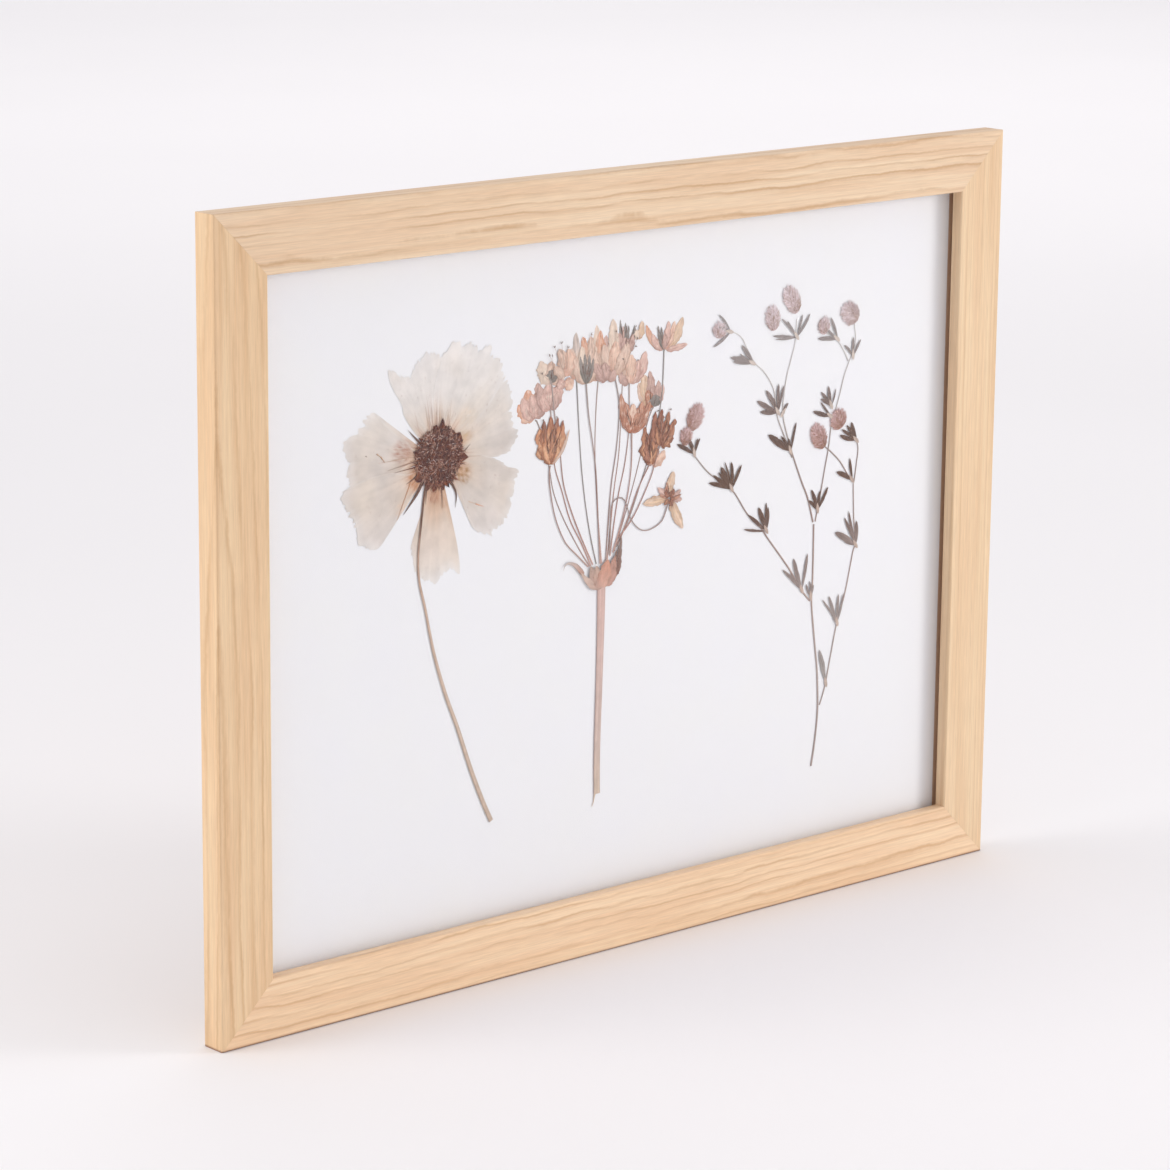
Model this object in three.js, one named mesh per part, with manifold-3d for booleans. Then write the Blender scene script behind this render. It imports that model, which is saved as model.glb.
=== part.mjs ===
// A pressed flower frame: three dried wild flowers lie on a white card behind glass, in a mitred
// pine frame that stands on its bottom rail. Millimetres. +X runs to the right as seen from the
// front, the front faces -Y and +Z is up. The origin is at the middle of the underside.

import * as THREE from 'three';
import { mergeVertices } from 'three/addons/utils/BufferGeometryUtils.js';
import Module from 'manifold-3d';

const wasm = await Module();
wasm.setup();

// ---------------------------------------------------------------- driving dimensions

const FRAME_WIDTH = 430;
const FRAME_HEIGHT = 330;
const FRAME_DEPTH = 12;
const RAIL_FACE = 25.4;       // width of a rail, seen from the front
const LIP_DEPTH = 5.2;        // thickness of the lip in front of the glass
const REBATE_WIDTH = 6;       // how far the lip stands over the glass
const EDGE_RADIUS = 0.8;      // rounding of the rails' long edges
const MITRE_GAP = 0.02;       // hairline between a rail's end and the mitre plane

const GLASS_THICKNESS = 1.2;
const GLASS_SETBACK = 6;      // from the rails' front face to the glass
const AIR_GAP = 1.5;          // room for the flowers between glass and card
const CARD_THICKNESS = 0.3;
const BOARD_THICKNESS = 1.45;
const SHEET_GAP = 0.05;       // between sheets that lie on one another
const SHEET_CLEARANCE = 0.5;  // round the edges of the sheets, in the rebate

const TAB_LENGTH = 14;
const TAB_WIDTH = 6;
const TAB_THICKNESS = 0.35;
const TAB_IN_SLOT = 5;
const SLOT_CLEARANCE = 0.3;
const CUT_OVERRUN = 0.2;      // how far a hole's cutter stands out at each side

const HANGER_LENGTH = 46;
const HANGER_HEIGHT = 9;
const HANGER_THICKNESS = 0.5;
const HANGER_RISE = 0.4;      // the middle stands this much further from the board
const HANGER_BELOW_TOP = 46;  // from the frame's top edge to the hanger's middle
const PIN_RADIUS = 0.65;
const PIN_HEAD_RADIUS = 1.8;
const PIN_HEAD_THICKNESS = 0.4;
const PIN_CLEARANCE = 0.3;
const PIN_INSET = 4;          // from the hanger's end to its pin
const PIN_HEAD_LAP = 0.1;     // how far the shank runs into the head
const PIN_SIDES = 12;
const PIN_HEAD_SIDES = 20;

const LAYER_STEP = 0.25;      // pressed pieces lie in thin layers on the card
const LAYER_THICKNESS = 0.2;
const GLASS_GAP = 0.08;       // between the thickest pieces and the glass
const STEM_THICKNESS = 0.6;
const UMBEL_STEM_THICKNESS = 0.9;

const CURVE_STEP = 6;         // length of one straight step along a pressed stem
const OUTLINE_STEP = 3.2;     // length of one straight step along a petal's edge

// ---------------------------------------------------------------- places worked out from them

const FRONT = -FRAME_DEPTH / 2;
const GLASS_FRONT = FRONT + GLASS_SETBACK;
const GLASS_BACK = GLASS_FRONT + GLASS_THICKNESS;
const CARD_FRONT = GLASS_BACK + AIR_GAP;
const BOARD_FRONT = CARD_FRONT + CARD_THICKNESS + SHEET_GAP;
const BOARD_BACK = BOARD_FRONT + BOARD_THICKNESS;
const REBATE_INSET = RAIL_FACE - REBATE_WIDTH;
const SHEET_WIDTH = FRAME_WIDTH - 2 * REBATE_INSET - 2 * SHEET_CLEARANCE;
const SHEET_HEIGHT = FRAME_HEIGHT - 2 * REBATE_INSET - 2 * SHEET_CLEARANCE;
const HALF_WIDTH = FRAME_WIDTH / 2;
const MIDDLE_Z = FRAME_HEIGHT / 2;
const HANGER_Z = FRAME_HEIGHT - HANGER_BELOW_TOP;

// ---------------------------------------------------------------- materials

const PINE = { color: 0xe8cba8, roughness: 0.55, metalness: 0 };
const CLEAR_GLASS = { color: 0xf4f8f6, roughness: 0.03, metalness: 0, transparent: true, opacity: 0.15 };
const WHITE_CARD = { color: 0xefeff1, roughness: 0.9, metalness: 0 };
const HARDBOARD = { color: 0x8a6242, roughness: 0.8, metalness: 0 };
const ZINC_STEEL = { color: 0xb6b8ba, roughness: 0.35, metalness: 1 };
const BRASSED_STEEL = { color: 0xc7a45c, roughness: 0.35, metalness: 1 };
const CREAM_PETAL = { color: 0xdfd5cb, roughness: 0.8, metalness: 0 };
const BROWN_STAMENS = { color: 0x6e5450, roughness: 0.95, metalness: 0 };
const DRY_STEM = { color: 0xb39a84, roughness: 0.85, metalness: 0 };
const PINK_STEM = { color: 0xc29c94, roughness: 0.85, metalness: 0 };
const ORANGE_BRACT = { color: 0xcb9a84, roughness: 0.85, metalness: 0 };
const TAN_BLOSSOM = { color: 0xc8a08c, roughness: 0.85, metalness: 0 };
const BROWN_STALK = { color: 0x8d7468, roughness: 0.85, metalness: 0 };
const MAUVE_HEAD = { color: 0xc4abae, roughness: 0.95, metalness: 0 };

// ---------------------------------------------------------------- helpers

const group = new THREE.Group();

function addPiece(name, geometry, finish) {
  const mesh = new THREE.Mesh(geometry, new THREE.MeshStandardMaterial(finish));
  mesh.name = name;
  group.add(mesh);
  return mesh;
}

function toSolid(geometry) {
  const bare = geometry.clone();
  bare.deleteAttribute('normal');
  bare.deleteAttribute('uv');
  const merged = mergeVertices(bare, 1e-4);
  return new wasm.Manifold(new wasm.Mesh({
    numProp: 3,
    vertProperties: new Float32Array(merged.attributes.position.array),
    triVerts: new Uint32Array(merged.index.array),
  }));
}

function toGeometry(solid) {
  const mesh = solid.getMesh();
  const geometry = new THREE.BufferGeometry();
  geometry.setAttribute('position', new THREE.BufferAttribute(mesh.vertProperties, 3));
  geometry.setIndex(new THREE.BufferAttribute(mesh.triVerts, 1));
  geometry.computeVertexNormals();
  return geometry;
}

function joined(first, ...others) {
  return toGeometry(others.reduce((solid, other) => solid.add(toSolid(other)), toSolid(first)));
}

function cutFrom(first, cutters) {
  return toGeometry(cutters.reduce((solid, cutter) => solid.subtract(toSolid(cutter)), toSolid(first)));
}

function boxAt(sizeX, sizeY, sizeZ, x, y, z) {
  return new THREE.BoxGeometry(sizeX, sizeY, sizeZ).translate(x, y, z);
}

// A flat outline of [x, z] points, from yFront back through a thickness.
function platFromOutline(points, yFront, thickness) {
  const outline = points.map(([x, z]) => new THREE.Vector2(x, z));
  if (THREE.ShapeUtils.isClockWise(outline)) outline.reverse();
  const geometry = new THREE.ExtrudeGeometry(new THREE.Shape(outline), {
    depth: thickness,
    bevelEnabled: false,
  });
  return geometry.rotateX(Math.PI / 2).translate(0, yFront + thickness, 0);
}

function curveThrough(points, closed, step) {
  const curve = new THREE.CatmullRomCurve3(
    points.map(([x, z]) => new THREE.Vector3(x, 0, z)), closed, 'centripetal');
  const count = Math.max(2, Math.round(curve.getLength() / step));
  return { curve, count };
}

// A smooth closed edge through a few hand-placed points.
function roundedOutline(points) {
  const { curve, count } = curveThrough(points, true, OUTLINE_STEP);
  return curve.getSpacedPoints(count).slice(0, -1).map((p) => [p.x, p.z]);
}

// A flat strip that follows a route and tapers from one width to another.
function stripOutline(route, startWidth, endWidth) {
  const { curve, count } = curveThrough(route, false, CURVE_STEP);
  const left = [];
  const right = [];
  for (let i = 0; i <= count; i += 1) {
    const along = i / count;
    const centre = curve.getPointAt(along);
    const heading = curve.getTangentAt(along);
    const half = THREE.MathUtils.lerp(startWidth, endWidth, along) / 2;
    left.push([centre.x - heading.z * half, centre.z + heading.x * half]);
    right.unshift([centre.x + heading.z * half, centre.z - heading.x * half]);
  }
  return left.concat(right);
}

// An oval with its long axis turned by a tilt, in degrees towards +X from upright.
function ovalOutline([x, z], halfWidth, halfHeight, tilt, sides) {
  const turn = THREE.MathUtils.degToRad(tilt);
  return Array.from({ length: sides }, (_, i) => {
    const angle = (2 * Math.PI * i) / sides;
    const across = halfWidth * Math.cos(angle);
    const along = halfHeight * Math.sin(angle);
    return [x + across * Math.cos(turn) + along * Math.sin(turn),
      z - across * Math.sin(turn) + along * Math.cos(turn)];
  });
}

// Layer 0 lies on the card and each layer after it is nearer the glass.
function layerFront(layer) {
  return CARD_FRONT - SHEET_GAP - LAYER_THICKNESS - layer * LAYER_STEP;
}

// ---------------------------------------------------------------- frame rails

// The rail's cross-section: x is the distance in from the outer edge, y the depth.
function railSection() {
  const back = -FRONT;
  const lipBack = FRONT + LIP_DEPTH;
  const section = new THREE.Shape();
  section.moveTo(EDGE_RADIUS, FRONT);
  section.lineTo(RAIL_FACE - EDGE_RADIUS, FRONT);
  section.absarc(RAIL_FACE - EDGE_RADIUS, FRONT + EDGE_RADIUS, EDGE_RADIUS, -Math.PI / 2, 0, false);
  section.lineTo(RAIL_FACE, lipBack);
  section.lineTo(REBATE_INSET, lipBack);
  section.lineTo(REBATE_INSET, back);
  section.lineTo(EDGE_RADIUS, back);
  section.absarc(EDGE_RADIUS, back - EDGE_RADIUS, EDGE_RADIUS, Math.PI / 2, Math.PI, false);
  section.lineTo(0, FRONT + EDGE_RADIUS);
  section.absarc(EDGE_RADIUS, FRONT + EDGE_RADIUS, EDGE_RADIUS, Math.PI, Math.PI * 1.5, false);
  return section;
}

// A rail along +X with its outer edge at z = 0 and both ends cut at 45 degrees.
function mitredRail(length) {
  const geometry = new THREE.ExtrudeGeometry(railSection(), {
    depth: 1,
    bevelEnabled: false,
    curveSegments: 3,
  });
  const position = geometry.attributes.position;
  for (let i = 0; i < position.count; i += 1) {
    const inset = position.getX(i);
    const half = length / 2 - inset - MITRE_GAP;
    const end = position.getZ(i) > 0.5 ? -1 : 1;
    position.setXYZ(i, end * half, position.getY(i), inset);
  }
  return geometry;
}

// Places along each rail, from its middle, where a bendable tab is driven in.
const RAILS = [
  { name: 'rail_bottom', length: FRAME_WIDTH, turn: 0, x: 0, z: 0, tabs: [-95, 95] },
  { name: 'rail_top', length: FRAME_WIDTH, turn: Math.PI, x: 0, z: FRAME_HEIGHT, tabs: [-95, 95] },
  { name: 'rail_left', length: FRAME_HEIGHT, turn: Math.PI / 2, x: -HALF_WIDTH, z: MIDDLE_Z, tabs: [0] },
  { name: 'rail_right', length: FRAME_HEIGHT, turn: -Math.PI / 2, x: HALF_WIDTH, z: MIDDLE_Z, tabs: [0] },
];

function placeOnRail(geometry, rail) {
  return geometry.rotateY(rail.turn).translate(rail.x, 0, rail.z);
}

const TAB_FRONT = BOARD_BACK + SHEET_GAP;
const TAB_OUTER_END = REBATE_INSET - TAB_IN_SLOT;

function tabSlot(along) {
  const depth = TAB_IN_SLOT + SLOT_CLEARANCE;
  return boxAt(TAB_WIDTH + 2 * SLOT_CLEARANCE, TAB_THICKNESS + 2 * SLOT_CLEARANCE, 2 * depth,
    along, TAB_FRONT + TAB_THICKNESS / 2, REBATE_INSET);
}

// The free end of a tab is rounded; the other end is square and sits in the slot.
function tabBlade(along) {
  const half = TAB_WIDTH / 2;
  const blade = new THREE.Shape();
  blade.moveTo(along - half, TAB_OUTER_END);
  blade.lineTo(along + half, TAB_OUTER_END);
  blade.lineTo(along + half, TAB_OUTER_END + TAB_LENGTH - half);
  blade.absarc(along, TAB_OUTER_END + TAB_LENGTH - half, half, 0, Math.PI, false);
  return new THREE.ExtrudeGeometry(blade, {
    depth: TAB_THICKNESS,
    bevelEnabled: false,
    curveSegments: 6,
  }).rotateX(Math.PI / 2).translate(0, TAB_FRONT + TAB_THICKNESS, 0);
}

function addRailsAndTabs() {
  let tabNumber = 0;
  for (const rail of RAILS) {
    const geometry = cutFrom(mitredRail(rail.length), rail.tabs.map(tabSlot));
    addPiece(rail.name, placeOnRail(geometry, rail), PINE);
    for (const along of rail.tabs) {
      tabNumber += 1;
      addPiece(`board_tab_${tabNumber}`, placeOnRail(tabBlade(along), rail), ZINC_STEEL);
    }
  }
}

// ---------------------------------------------------------------- sheets

function sheet(front, thickness) {
  return boxAt(SHEET_WIDTH, thickness, SHEET_HEIGHT, 0, front + thickness / 2, MIDDLE_Z);
}

const PIN_PLACES = [-1, 1].map((side) => side * (HANGER_LENGTH / 2 - PIN_INSET));

// A round pin along Y from a front plane to a back plane.
function pinAlongY(radius, front, back, x, sides = PIN_SIDES) {
  return new THREE.CylinderGeometry(radius, radius, back - front, sides)
    .translate(x, (front + back) / 2, HANGER_Z);
}

function addSheets() {
  addPiece('glass_pane', sheet(GLASS_FRONT, GLASS_THICKNESS), CLEAR_GLASS);
  addPiece('mount_card', sheet(CARD_FRONT, CARD_THICKNESS), WHITE_CARD);
  const holes = PIN_PLACES.map((x) => pinAlongY(PIN_RADIUS + PIN_CLEARANCE,
    BOARD_FRONT - CUT_OVERRUN, BOARD_BACK + CUT_OVERRUN, x));
  addPiece('backing_board', cutFrom(sheet(BOARD_FRONT, BOARD_THICKNESS), holes), HARDBOARD);
}

// ---------------------------------------------------------------- sawtooth hanger

const HANGER_FRONT = BOARD_BACK + SHEET_GAP;
const FOOT_LENGTH = 10;
const TOOTH_COUNT = 9;
const TOOTH_HEIGHT = 1.6;
const TOOTH_INSET = 2.4;      // from the plate's lower edge up to the tips of the teeth
const FOOT_LAP = 1;           // how far the raised middle runs into each foot

// The raised middle, with teeth along its lower edge for the nail.
function hangerMiddle() {
  const half = HANGER_LENGTH / 2 - FOOT_LENGTH + FOOT_LAP;
  const bottom = HANGER_Z - HANGER_HEIGHT / 2 + TOOTH_INSET;
  const points = [[-half, HANGER_Z + HANGER_HEIGHT / 2], [-half, bottom]];
  const pitch = (2 * half) / TOOTH_COUNT;
  for (let i = 0; i < TOOTH_COUNT; i += 1) {
    points.push([-half + (i + 0.5) * pitch, bottom + TOOTH_HEIGHT]);
    points.push([-half + (i + 1) * pitch, bottom]);
  }
  points.push([half, HANGER_Z + HANGER_HEIGHT / 2]);
  return platFromOutline(points, HANGER_FRONT + HANGER_RISE, HANGER_THICKNESS);
}

function hangerFoot(side) {
  const centre = side * (HANGER_LENGTH - FOOT_LENGTH) / 2;
  return boxAt(FOOT_LENGTH, HANGER_THICKNESS, HANGER_HEIGHT,
    centre, HANGER_FRONT + HANGER_THICKNESS / 2, HANGER_Z);
}

function addHanger() {
  const plate = joined(hangerMiddle(), hangerFoot(-1), hangerFoot(1));
  const holes = PIN_PLACES.map((x) => pinAlongY(PIN_RADIUS + PIN_CLEARANCE,
    HANGER_FRONT - CUT_OVERRUN, HANGER_FRONT + HANGER_THICKNESS + CUT_OVERRUN, x));
  addPiece('hanger_plate', cutFrom(plate, holes), BRASSED_STEEL);
  const headFront = HANGER_FRONT + HANGER_THICKNESS + SHEET_GAP;
  ['left', 'right'].forEach((side, i) => {
    const x = PIN_PLACES[i];
    const shank = pinAlongY(PIN_RADIUS, BOARD_FRONT + CUT_OVERRUN, headFront + PIN_HEAD_LAP, x);
    const head = pinAlongY(PIN_HEAD_RADIUS, headFront, headFront + PIN_HEAD_THICKNESS, x, PIN_HEAD_SIDES);
    addPiece(`hanger_pin_${side}`, joined(head, shank), BRASSED_STEEL);
  });
}

// ---------------------------------------------------------------- left specimen: open flower

const FLOWER_CENTRE = [-98.8, 222];
const BOSS_RADIUS = 13;
const BOSS_THICKNESS = 0.6;
const BOSS_SIDES = 20;
const BOSS_RINGS = 8;

// Each petal's edge, as [x, z] from the flower's centre, and the layer it lies in.
const PETALS = [
  { name: 'petal_upper_left', layer: 1,
    edge: [[-8, 6], [-18, 18], [-24, 30], [-25, 38], [-18, 34], [-11, 39], [-3, 42], [5, 38], [8, 26],
      [5, 12]] },
  { name: 'petal_top', layer: 2,
    edge: [[-4, 8], [-3, 22], [0, 38], [6, 44], [15, 43], [22, 42], [28, 40], [33, 34], [31, 24], [19, 12],
      [8, 6]] },
  { name: 'petal_right', layer: 1,
    edge: [[8, 6], [20, 17], [33, 28], [37, 21], [38, 11], [40, 3], [34, -4], [22, -4], [9, -2]] },
  { name: 'petal_lower_right', layer: 2,
    edge: [[8, -3], [20, -2], [31, -6], [41, -11], [39, -19], [34, -29], [26, -35], [18, -31], [13, -18],
      [7, -11]] },
  { name: 'petal_bottom', layer: 0,
    edge: [[2, -10], [6, -22], [9, -36], [11, -48], [4, -48], [-2, -52], [-9, -49], [-14, -38], [-11, -26],
      [-6, -12]] },
  { name: 'petal_lower_left', layer: 2,
    edge: [[-9, -8], [-22, -5], [-35, -4], [-45, -7], [-50, -11], [-44, -22], [-40, -30], [-33, -33],
      [-26, -27], [-18, -17]] },
  { name: 'petal_left', layer: 0,
    edge: [[-9, 4], [-18, 9], [-27, 16], [-33, 22], [-39, 16], [-47, 10], [-46, 1], [-44, -5], [-33, -4],
      [-18, -2], [-9, -1]] },
];

const FLOWER_STEM = [[-106.5, 208.2], [-108, 196], [-109.5, 183], [-109, 172.5], [-106, 161], [-101.5, 142],
  [-95.5, 124], [-89, 108.5], [-82, 90], [-75.5, 75], [-71, 66]];
const FLOWER_STEM_WIDTHS = [1.1, 2.4];

function addOpenFlower() {
  const [centreX, centreZ] = FLOWER_CENTRE;
  for (const petal of PETALS) {
    const edge = petal.edge.map(([x, z]) => [centreX + x, centreZ + z]);
    const front = layerFront(petal.layer);
    addPiece(petal.name, platFromOutline(roundedOutline(edge), front, LAYER_THICKNESS), CREAM_PETAL);
  }
  const boss = new THREE.SphereGeometry(1, BOSS_SIDES, BOSS_RINGS);
  boss.rotateX(Math.PI / 2).scale(BOSS_RADIUS, BOSS_THICKNESS / 2, BOSS_RADIUS);
  boss.translate(centreX, GLASS_BACK + GLASS_GAP + BOSS_THICKNESS / 2, centreZ);
  addPiece('flower_boss', boss, BROWN_STAMENS);
  const stem = stripOutline(FLOWER_STEM, ...FLOWER_STEM_WIDTHS);
  addPiece('flower_stem', platFromOutline(stem, GLASS_BACK + GLASS_GAP, STEM_THICKNESS), DRY_STEM);
}

// ---------------------------------------------------------------- middle specimen: umbel

const UMBEL_STEM = [[-11.6, 155.3], [-11.7, 144], [-12, 128.5], [-12.4, 112.5], [-12.9, 96.5], [-13.2, 80.5],
  [-13, 67]];
const BRACT_CUP = [[-16, 156.6], [-8, 155.8], [-4, 159], [-1.4, 162.5], [-0.4, 167], [-0.8, 177],
  [-4.5, 169.5], [-7.5, 167.5], [-10.5, 165.5], [-14, 164.4], [-22, 162.2], [-20, 159]];
const LONG_BRACT = [[-22.6, 162.9], [-25.5, 166], [-29, 168], [-31.5, 168.2], [-33.4, 166.6]];
const UMBEL_STEM_WIDTHS = [4.2, 3.2];
const LONG_BRACT_WIDTHS = [1.6, 0.5];
const PEDICEL_WIDTHS = [0.8, 0.8];
const BLOSSOM_SIDES = 14;
const STEM_LAYER = 4;         // the stout stem is thick and reaches from the card to this layer
const LONG_BRACT_LAYER = 2;

// Each ray of the umbel: its layer, the route of its pedicel up from the cup, and the
// centre, half sizes and tilt of what it carries.
const RAYS = [
  { layer: 3, route: [[-19, 165.5], [-25.5, 171.5], [-32, 178], [-37.5, 189.5], [-40.5, 203.5], [-41, 212]],
    head: [[-39, 219], 7, 8.5, -5] },
  { layer: 0, route: [[-18, 165.5], [-23.5, 173], [-32, 186.5], [-38, 199], [-41, 212], [-45.5, 226],
      [-47.5, 232]],
    head: [[-50.5, 238], 5.5, 7.5, -35] },
  { layer: 1, route: [[-17.4, 165.5], [-22.5, 175.5], [-29, 186.5], [-33.5, 199], [-38, 212], [-40, 234]],
    head: [[-40.5, 240.5], 5.5, 7.5, -5] },
  { layer: 2, route: [[-16.4, 166], [-23.5, 179.5], [-29, 191.5], [-33, 203], [-35, 217], [-38, 232],
      [-40.5, 246]],
    head: [[-41.5, 250.5], 5.5, 5, 10] },
  { layer: 1, route: [[-14.4, 166], [-17.5, 177], [-20.5, 191], [-23, 207.5], [-24.8, 227], [-26, 249]],
    head: [[-27, 257.5], 3.6, 7.5, 5] },
  { layer: 3, route: [[-12.5, 165.8], [-14, 188.5], [-15.2, 205], [-17, 216.5], [-19.5, 229.5], [-21.5, 243]],
    head: [[-22, 250], 5.6, 7.5, -5] },
  { layer: 0, route: [[-11.4, 165.8], [-13.5, 184.5], [-15.5, 209], [-15.5, 227.5], [-15, 253]],
    head: [[-14.2, 260], 4.2, 7, 0] },
  { layer: 2, route: [[-9.2, 166.8], [-8, 183.5], [-6.5, 199], [-4, 213], [-2.6, 227], [-3.2, 235.5],
      [-6, 244]],
    head: [[-6.5, 252], 4.4, 9, 3] },
  { layer: 0, route: [[-8.2, 167.2], [-6.8, 179.5], [-5, 195.5], [-2.4, 211.5], [-1.5, 227.5], [-1.5, 253]],
    head: [[-0.5, 261.5], 5.8, 6, 10] },
  { layer: 1, route: [[-6.8, 168.3], [-4.5, 183.5], [-2.2, 195], [1, 207], [3, 222], [3.4, 240]],
    head: [[4, 247], 7, 6.4, 0] },
  { layer: 3, route: [[-5.4, 169.6], [-0.5, 182.5], [2.5, 193], [4.4, 205.5], [5, 219]],
    head: [[6.5, 227], 7.4, 7.6, 10] },
  { layer: 0, route: [[-4.4, 170.1], [0.5, 182.5], [6, 197.5], [10, 210], [13, 221.5], [14.6, 229]],
    head: [[15, 236], 6.4, 6.6, 0] },
  { layer: 2, route: [[-2.8, 172.6], [3, 183], [8, 194], [13.5, 204.5]],
    head: [[17, 211.5], 6, 7.5, 15] },
  { layer: 3, route: [[-2.1, 175.6], [6, 183.5], [14.5, 197], [17.6, 204.5], [21, 213]],
    head: [[22.5, 219], 5, 6.4, 20] },
  { layer: 1, route: [[-3.3, 171.8], [3.6, 183], [9.6, 196.5], [16, 212], [20, 226], [21.5, 236.5],
      [22, 252]],
    head: [[22, 257], 8, 5.4, 5] },
  { layer: 4, route: [[-7.4, 169], [-7, 179.5], [-7, 187.5], [-5.6, 191.2], [-2.5, 192.5], [0.5, 191.3],
      [2.6, 187], [5, 181.6], [9.2, 177.6], [13.5, 176.4], [18.5, 177.5], [22.3, 179.8], [24.4, 185.5]],
    head: [[26.5, 189], 6, 6, 0] },
];

// The cup lies just in front of the stem's front face.
function addUmbel() {
  const stemFront = layerFront(STEM_LAYER);
  const cupFront = stemFront - LAYER_STEP / 2 - SHEET_GAP;
  const stem = stripOutline(UMBEL_STEM, ...UMBEL_STEM_WIDTHS);
  const longBract = stripOutline(LONG_BRACT, ...LONG_BRACT_WIDTHS);
  const curlFront = layerFront(LONG_BRACT_LAYER);
  addPiece('umbel_stem', platFromOutline(stem, stemFront, UMBEL_STEM_THICKNESS), PINK_STEM);
  addPiece('bract_cup', platFromOutline(BRACT_CUP, cupFront, LAYER_THICKNESS), ORANGE_BRACT);
  addPiece('bract_long', platFromOutline(longBract, curlFront, LAYER_THICKNESS), ORANGE_BRACT);
  RAYS.forEach((ray, i) => {
    const front = layerFront(ray.layer);
    const strip = stripOutline([...ray.route, ray.head[0]], ...PEDICEL_WIDTHS);
    const pedicel = platFromOutline(strip, front, LAYER_THICKNESS);
    const head = platFromOutline(ovalOutline(...ray.head, BLOSSOM_SIDES), front, LAYER_THICKNESS);
    addPiece(`umbel_ray_${i + 1}`, joined(pedicel, head), TAN_BLOSSOM);
  });
}

// ---------------------------------------------------------------- right specimen: clover sprig

const SPRIG_FRONT = layerFront(1);
const SPRIG_THICKNESS = 0.4;
const HEAD_THICKNESS = 0.6;
const HEAD_SIDES = 14;
const HEAD_RINGS = 8;
const HEAD_MIDDLE = GLASS_BACK + GLASS_GAP + HEAD_THICKNESS / 2;
const TWIG_WIDTHS = [0.6, 0.6];

// Stems of the sprig, each with its route up from its fork and its widths at both ends.
const SPRIG_STEMS = [
  { name: 'sprig_main_stem', widths: [1.1, 1],
    route: [[113, 56.5], [115, 68], [116.3, 82], [115.5, 99], [113.5, 113], [111.2, 130.5], [111.5, 139.5],
      [111.6, 152], [111.5, 165.5]] },
  { name: 'sprig_right_stem', widths: [0.9, 0.6],
    route: [[117.4, 83.5], [120.5, 91.5], [123.5, 104.5], [127, 119], [131.5, 131.5], [136, 150],
      [137.3, 153.5], [136, 165], [135.2, 180.5]] },
  { name: 'sprig_right_tip', widths: [0.7, 0.6],
    route: [[135.7, 181.6], [137, 190.5], [137.6, 196], [136, 201]] },
  { name: 'sprig_left_stem', widths: [0.9, 0.6],
    route: [[110.1, 131.6], [105, 137], [96.5, 148.5], [84, 163], [79.5, 168.5], [71.5, 175.5],
      [62, 187.5], [49, 196], [41, 204], [38.5, 207]] },
  { name: 'sprig_middle_stem', widths: [1, 0.6],
    route: [[111, 166.5], [107.5, 177.5], [103.5, 185.5], [98.7, 196], [95, 205], [92.6, 212], [91.4, 218],
      [92, 225], [93.5, 233], [96, 240.5], [98, 247], [98.6, 257]] },
  { name: 'sprig_middle_left_stem', widths: [0.8, 0.6],
    route: [[97.5, 196.8], [93, 206], [88, 216.5], [86.5, 225.5], [84, 231], [79.5, 236.5], [75, 240],
      [72.5, 243], [69.5, 247.5], [66.5, 252.3], [62, 255], [58.5, 255.6]] },
  { name: 'sprig_middle_right_stem', widths: [0.9, 0.6],
    route: [[112.3, 166.6], [113.5, 171.5], [115.5, 180], [117.5, 189.5], [119.6, 199], [121, 209],
      [123, 214], [125.5, 221], [128, 229], [131.4, 236], [133.2, 239], [134.6, 244], [133.5, 251]] },
];

// Flower heads: centre, half width, half height, tilt; two also have a twig of their own.
const SPRIG_HEADS = [
  { head: [[95.6, 265.3], 4.5, 7.2, -36] },
  { head: [[84.3, 258.5], 4.2, 5.7, -16] },
  { head: [[53.4, 256.6], 4.1, 3.5, 20] },
  { head: [[130.9, 256], 4.9, 6.2, -62] },
  { head: [[115, 252], 3.6, 4.1, -10],
    twig: [[130.2, 235.3], [127.5, 240], [124, 244.5], [119.5, 248], [116, 249]] },
  { head: [[40.6, 221.4], 4.4, 6.1, 28] },
  { head: [[35, 213.2], 3.2, 3.7, 5] },
  { head: [[125.2, 210], 4.8, 4.6, -30] },
  { head: [[113.6, 203.7], 4.5, 6.6, -32],
    twig: [[134.4, 181.6], [131.5, 185], [126.5, 191.5], [120.8, 196.5], [117, 199.4]] },
];

function flowerHead([x, z], halfWidth, halfHeight, tilt) {
  const head = new THREE.SphereGeometry(1, HEAD_SIDES, HEAD_RINGS);
  head.scale(halfWidth, HEAD_THICKNESS / 2, halfHeight);
  head.rotateY(THREE.MathUtils.degToRad(tilt));
  return head.translate(x, HEAD_MIDDLE, z);
}

function addSprig() {
  for (const stem of SPRIG_STEMS) {
    const strip = stripOutline(stem.route, ...stem.widths);
    addPiece(stem.name, platFromOutline(strip, SPRIG_FRONT, SPRIG_THICKNESS), BROWN_STALK);
  }
  SPRIG_HEADS.forEach(({ head, twig }, i) => {
    let geometry = flowerHead(...head);
    if (twig) {
      const strip = stripOutline([...twig, head[0]], ...TWIG_WIDTHS);
      geometry = joined(geometry, platFromOutline(strip, HEAD_MIDDLE, LAYER_THICKNESS));
    }
    addPiece(`clover_head_${i + 1}`, geometry, MAUVE_HEAD);
  });
}

// ---------------------------------------------------------------- the whole frame

addRailsAndTabs();
addSheets();
addHanger();
addOpenFlower();
addUmbel();
addSprig();

export default group;
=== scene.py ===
"""A pressed flower frame: pale mitred pine, glass, and three dried wild flowers on white card.

The frame's own solids get their finishes here, and the flowers are modelled in full. Tables of
places are in millimetres, [x, z] on the card: +X runs to the right, the front faces -Y, +Z is up.
"""

import math
import random

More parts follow.
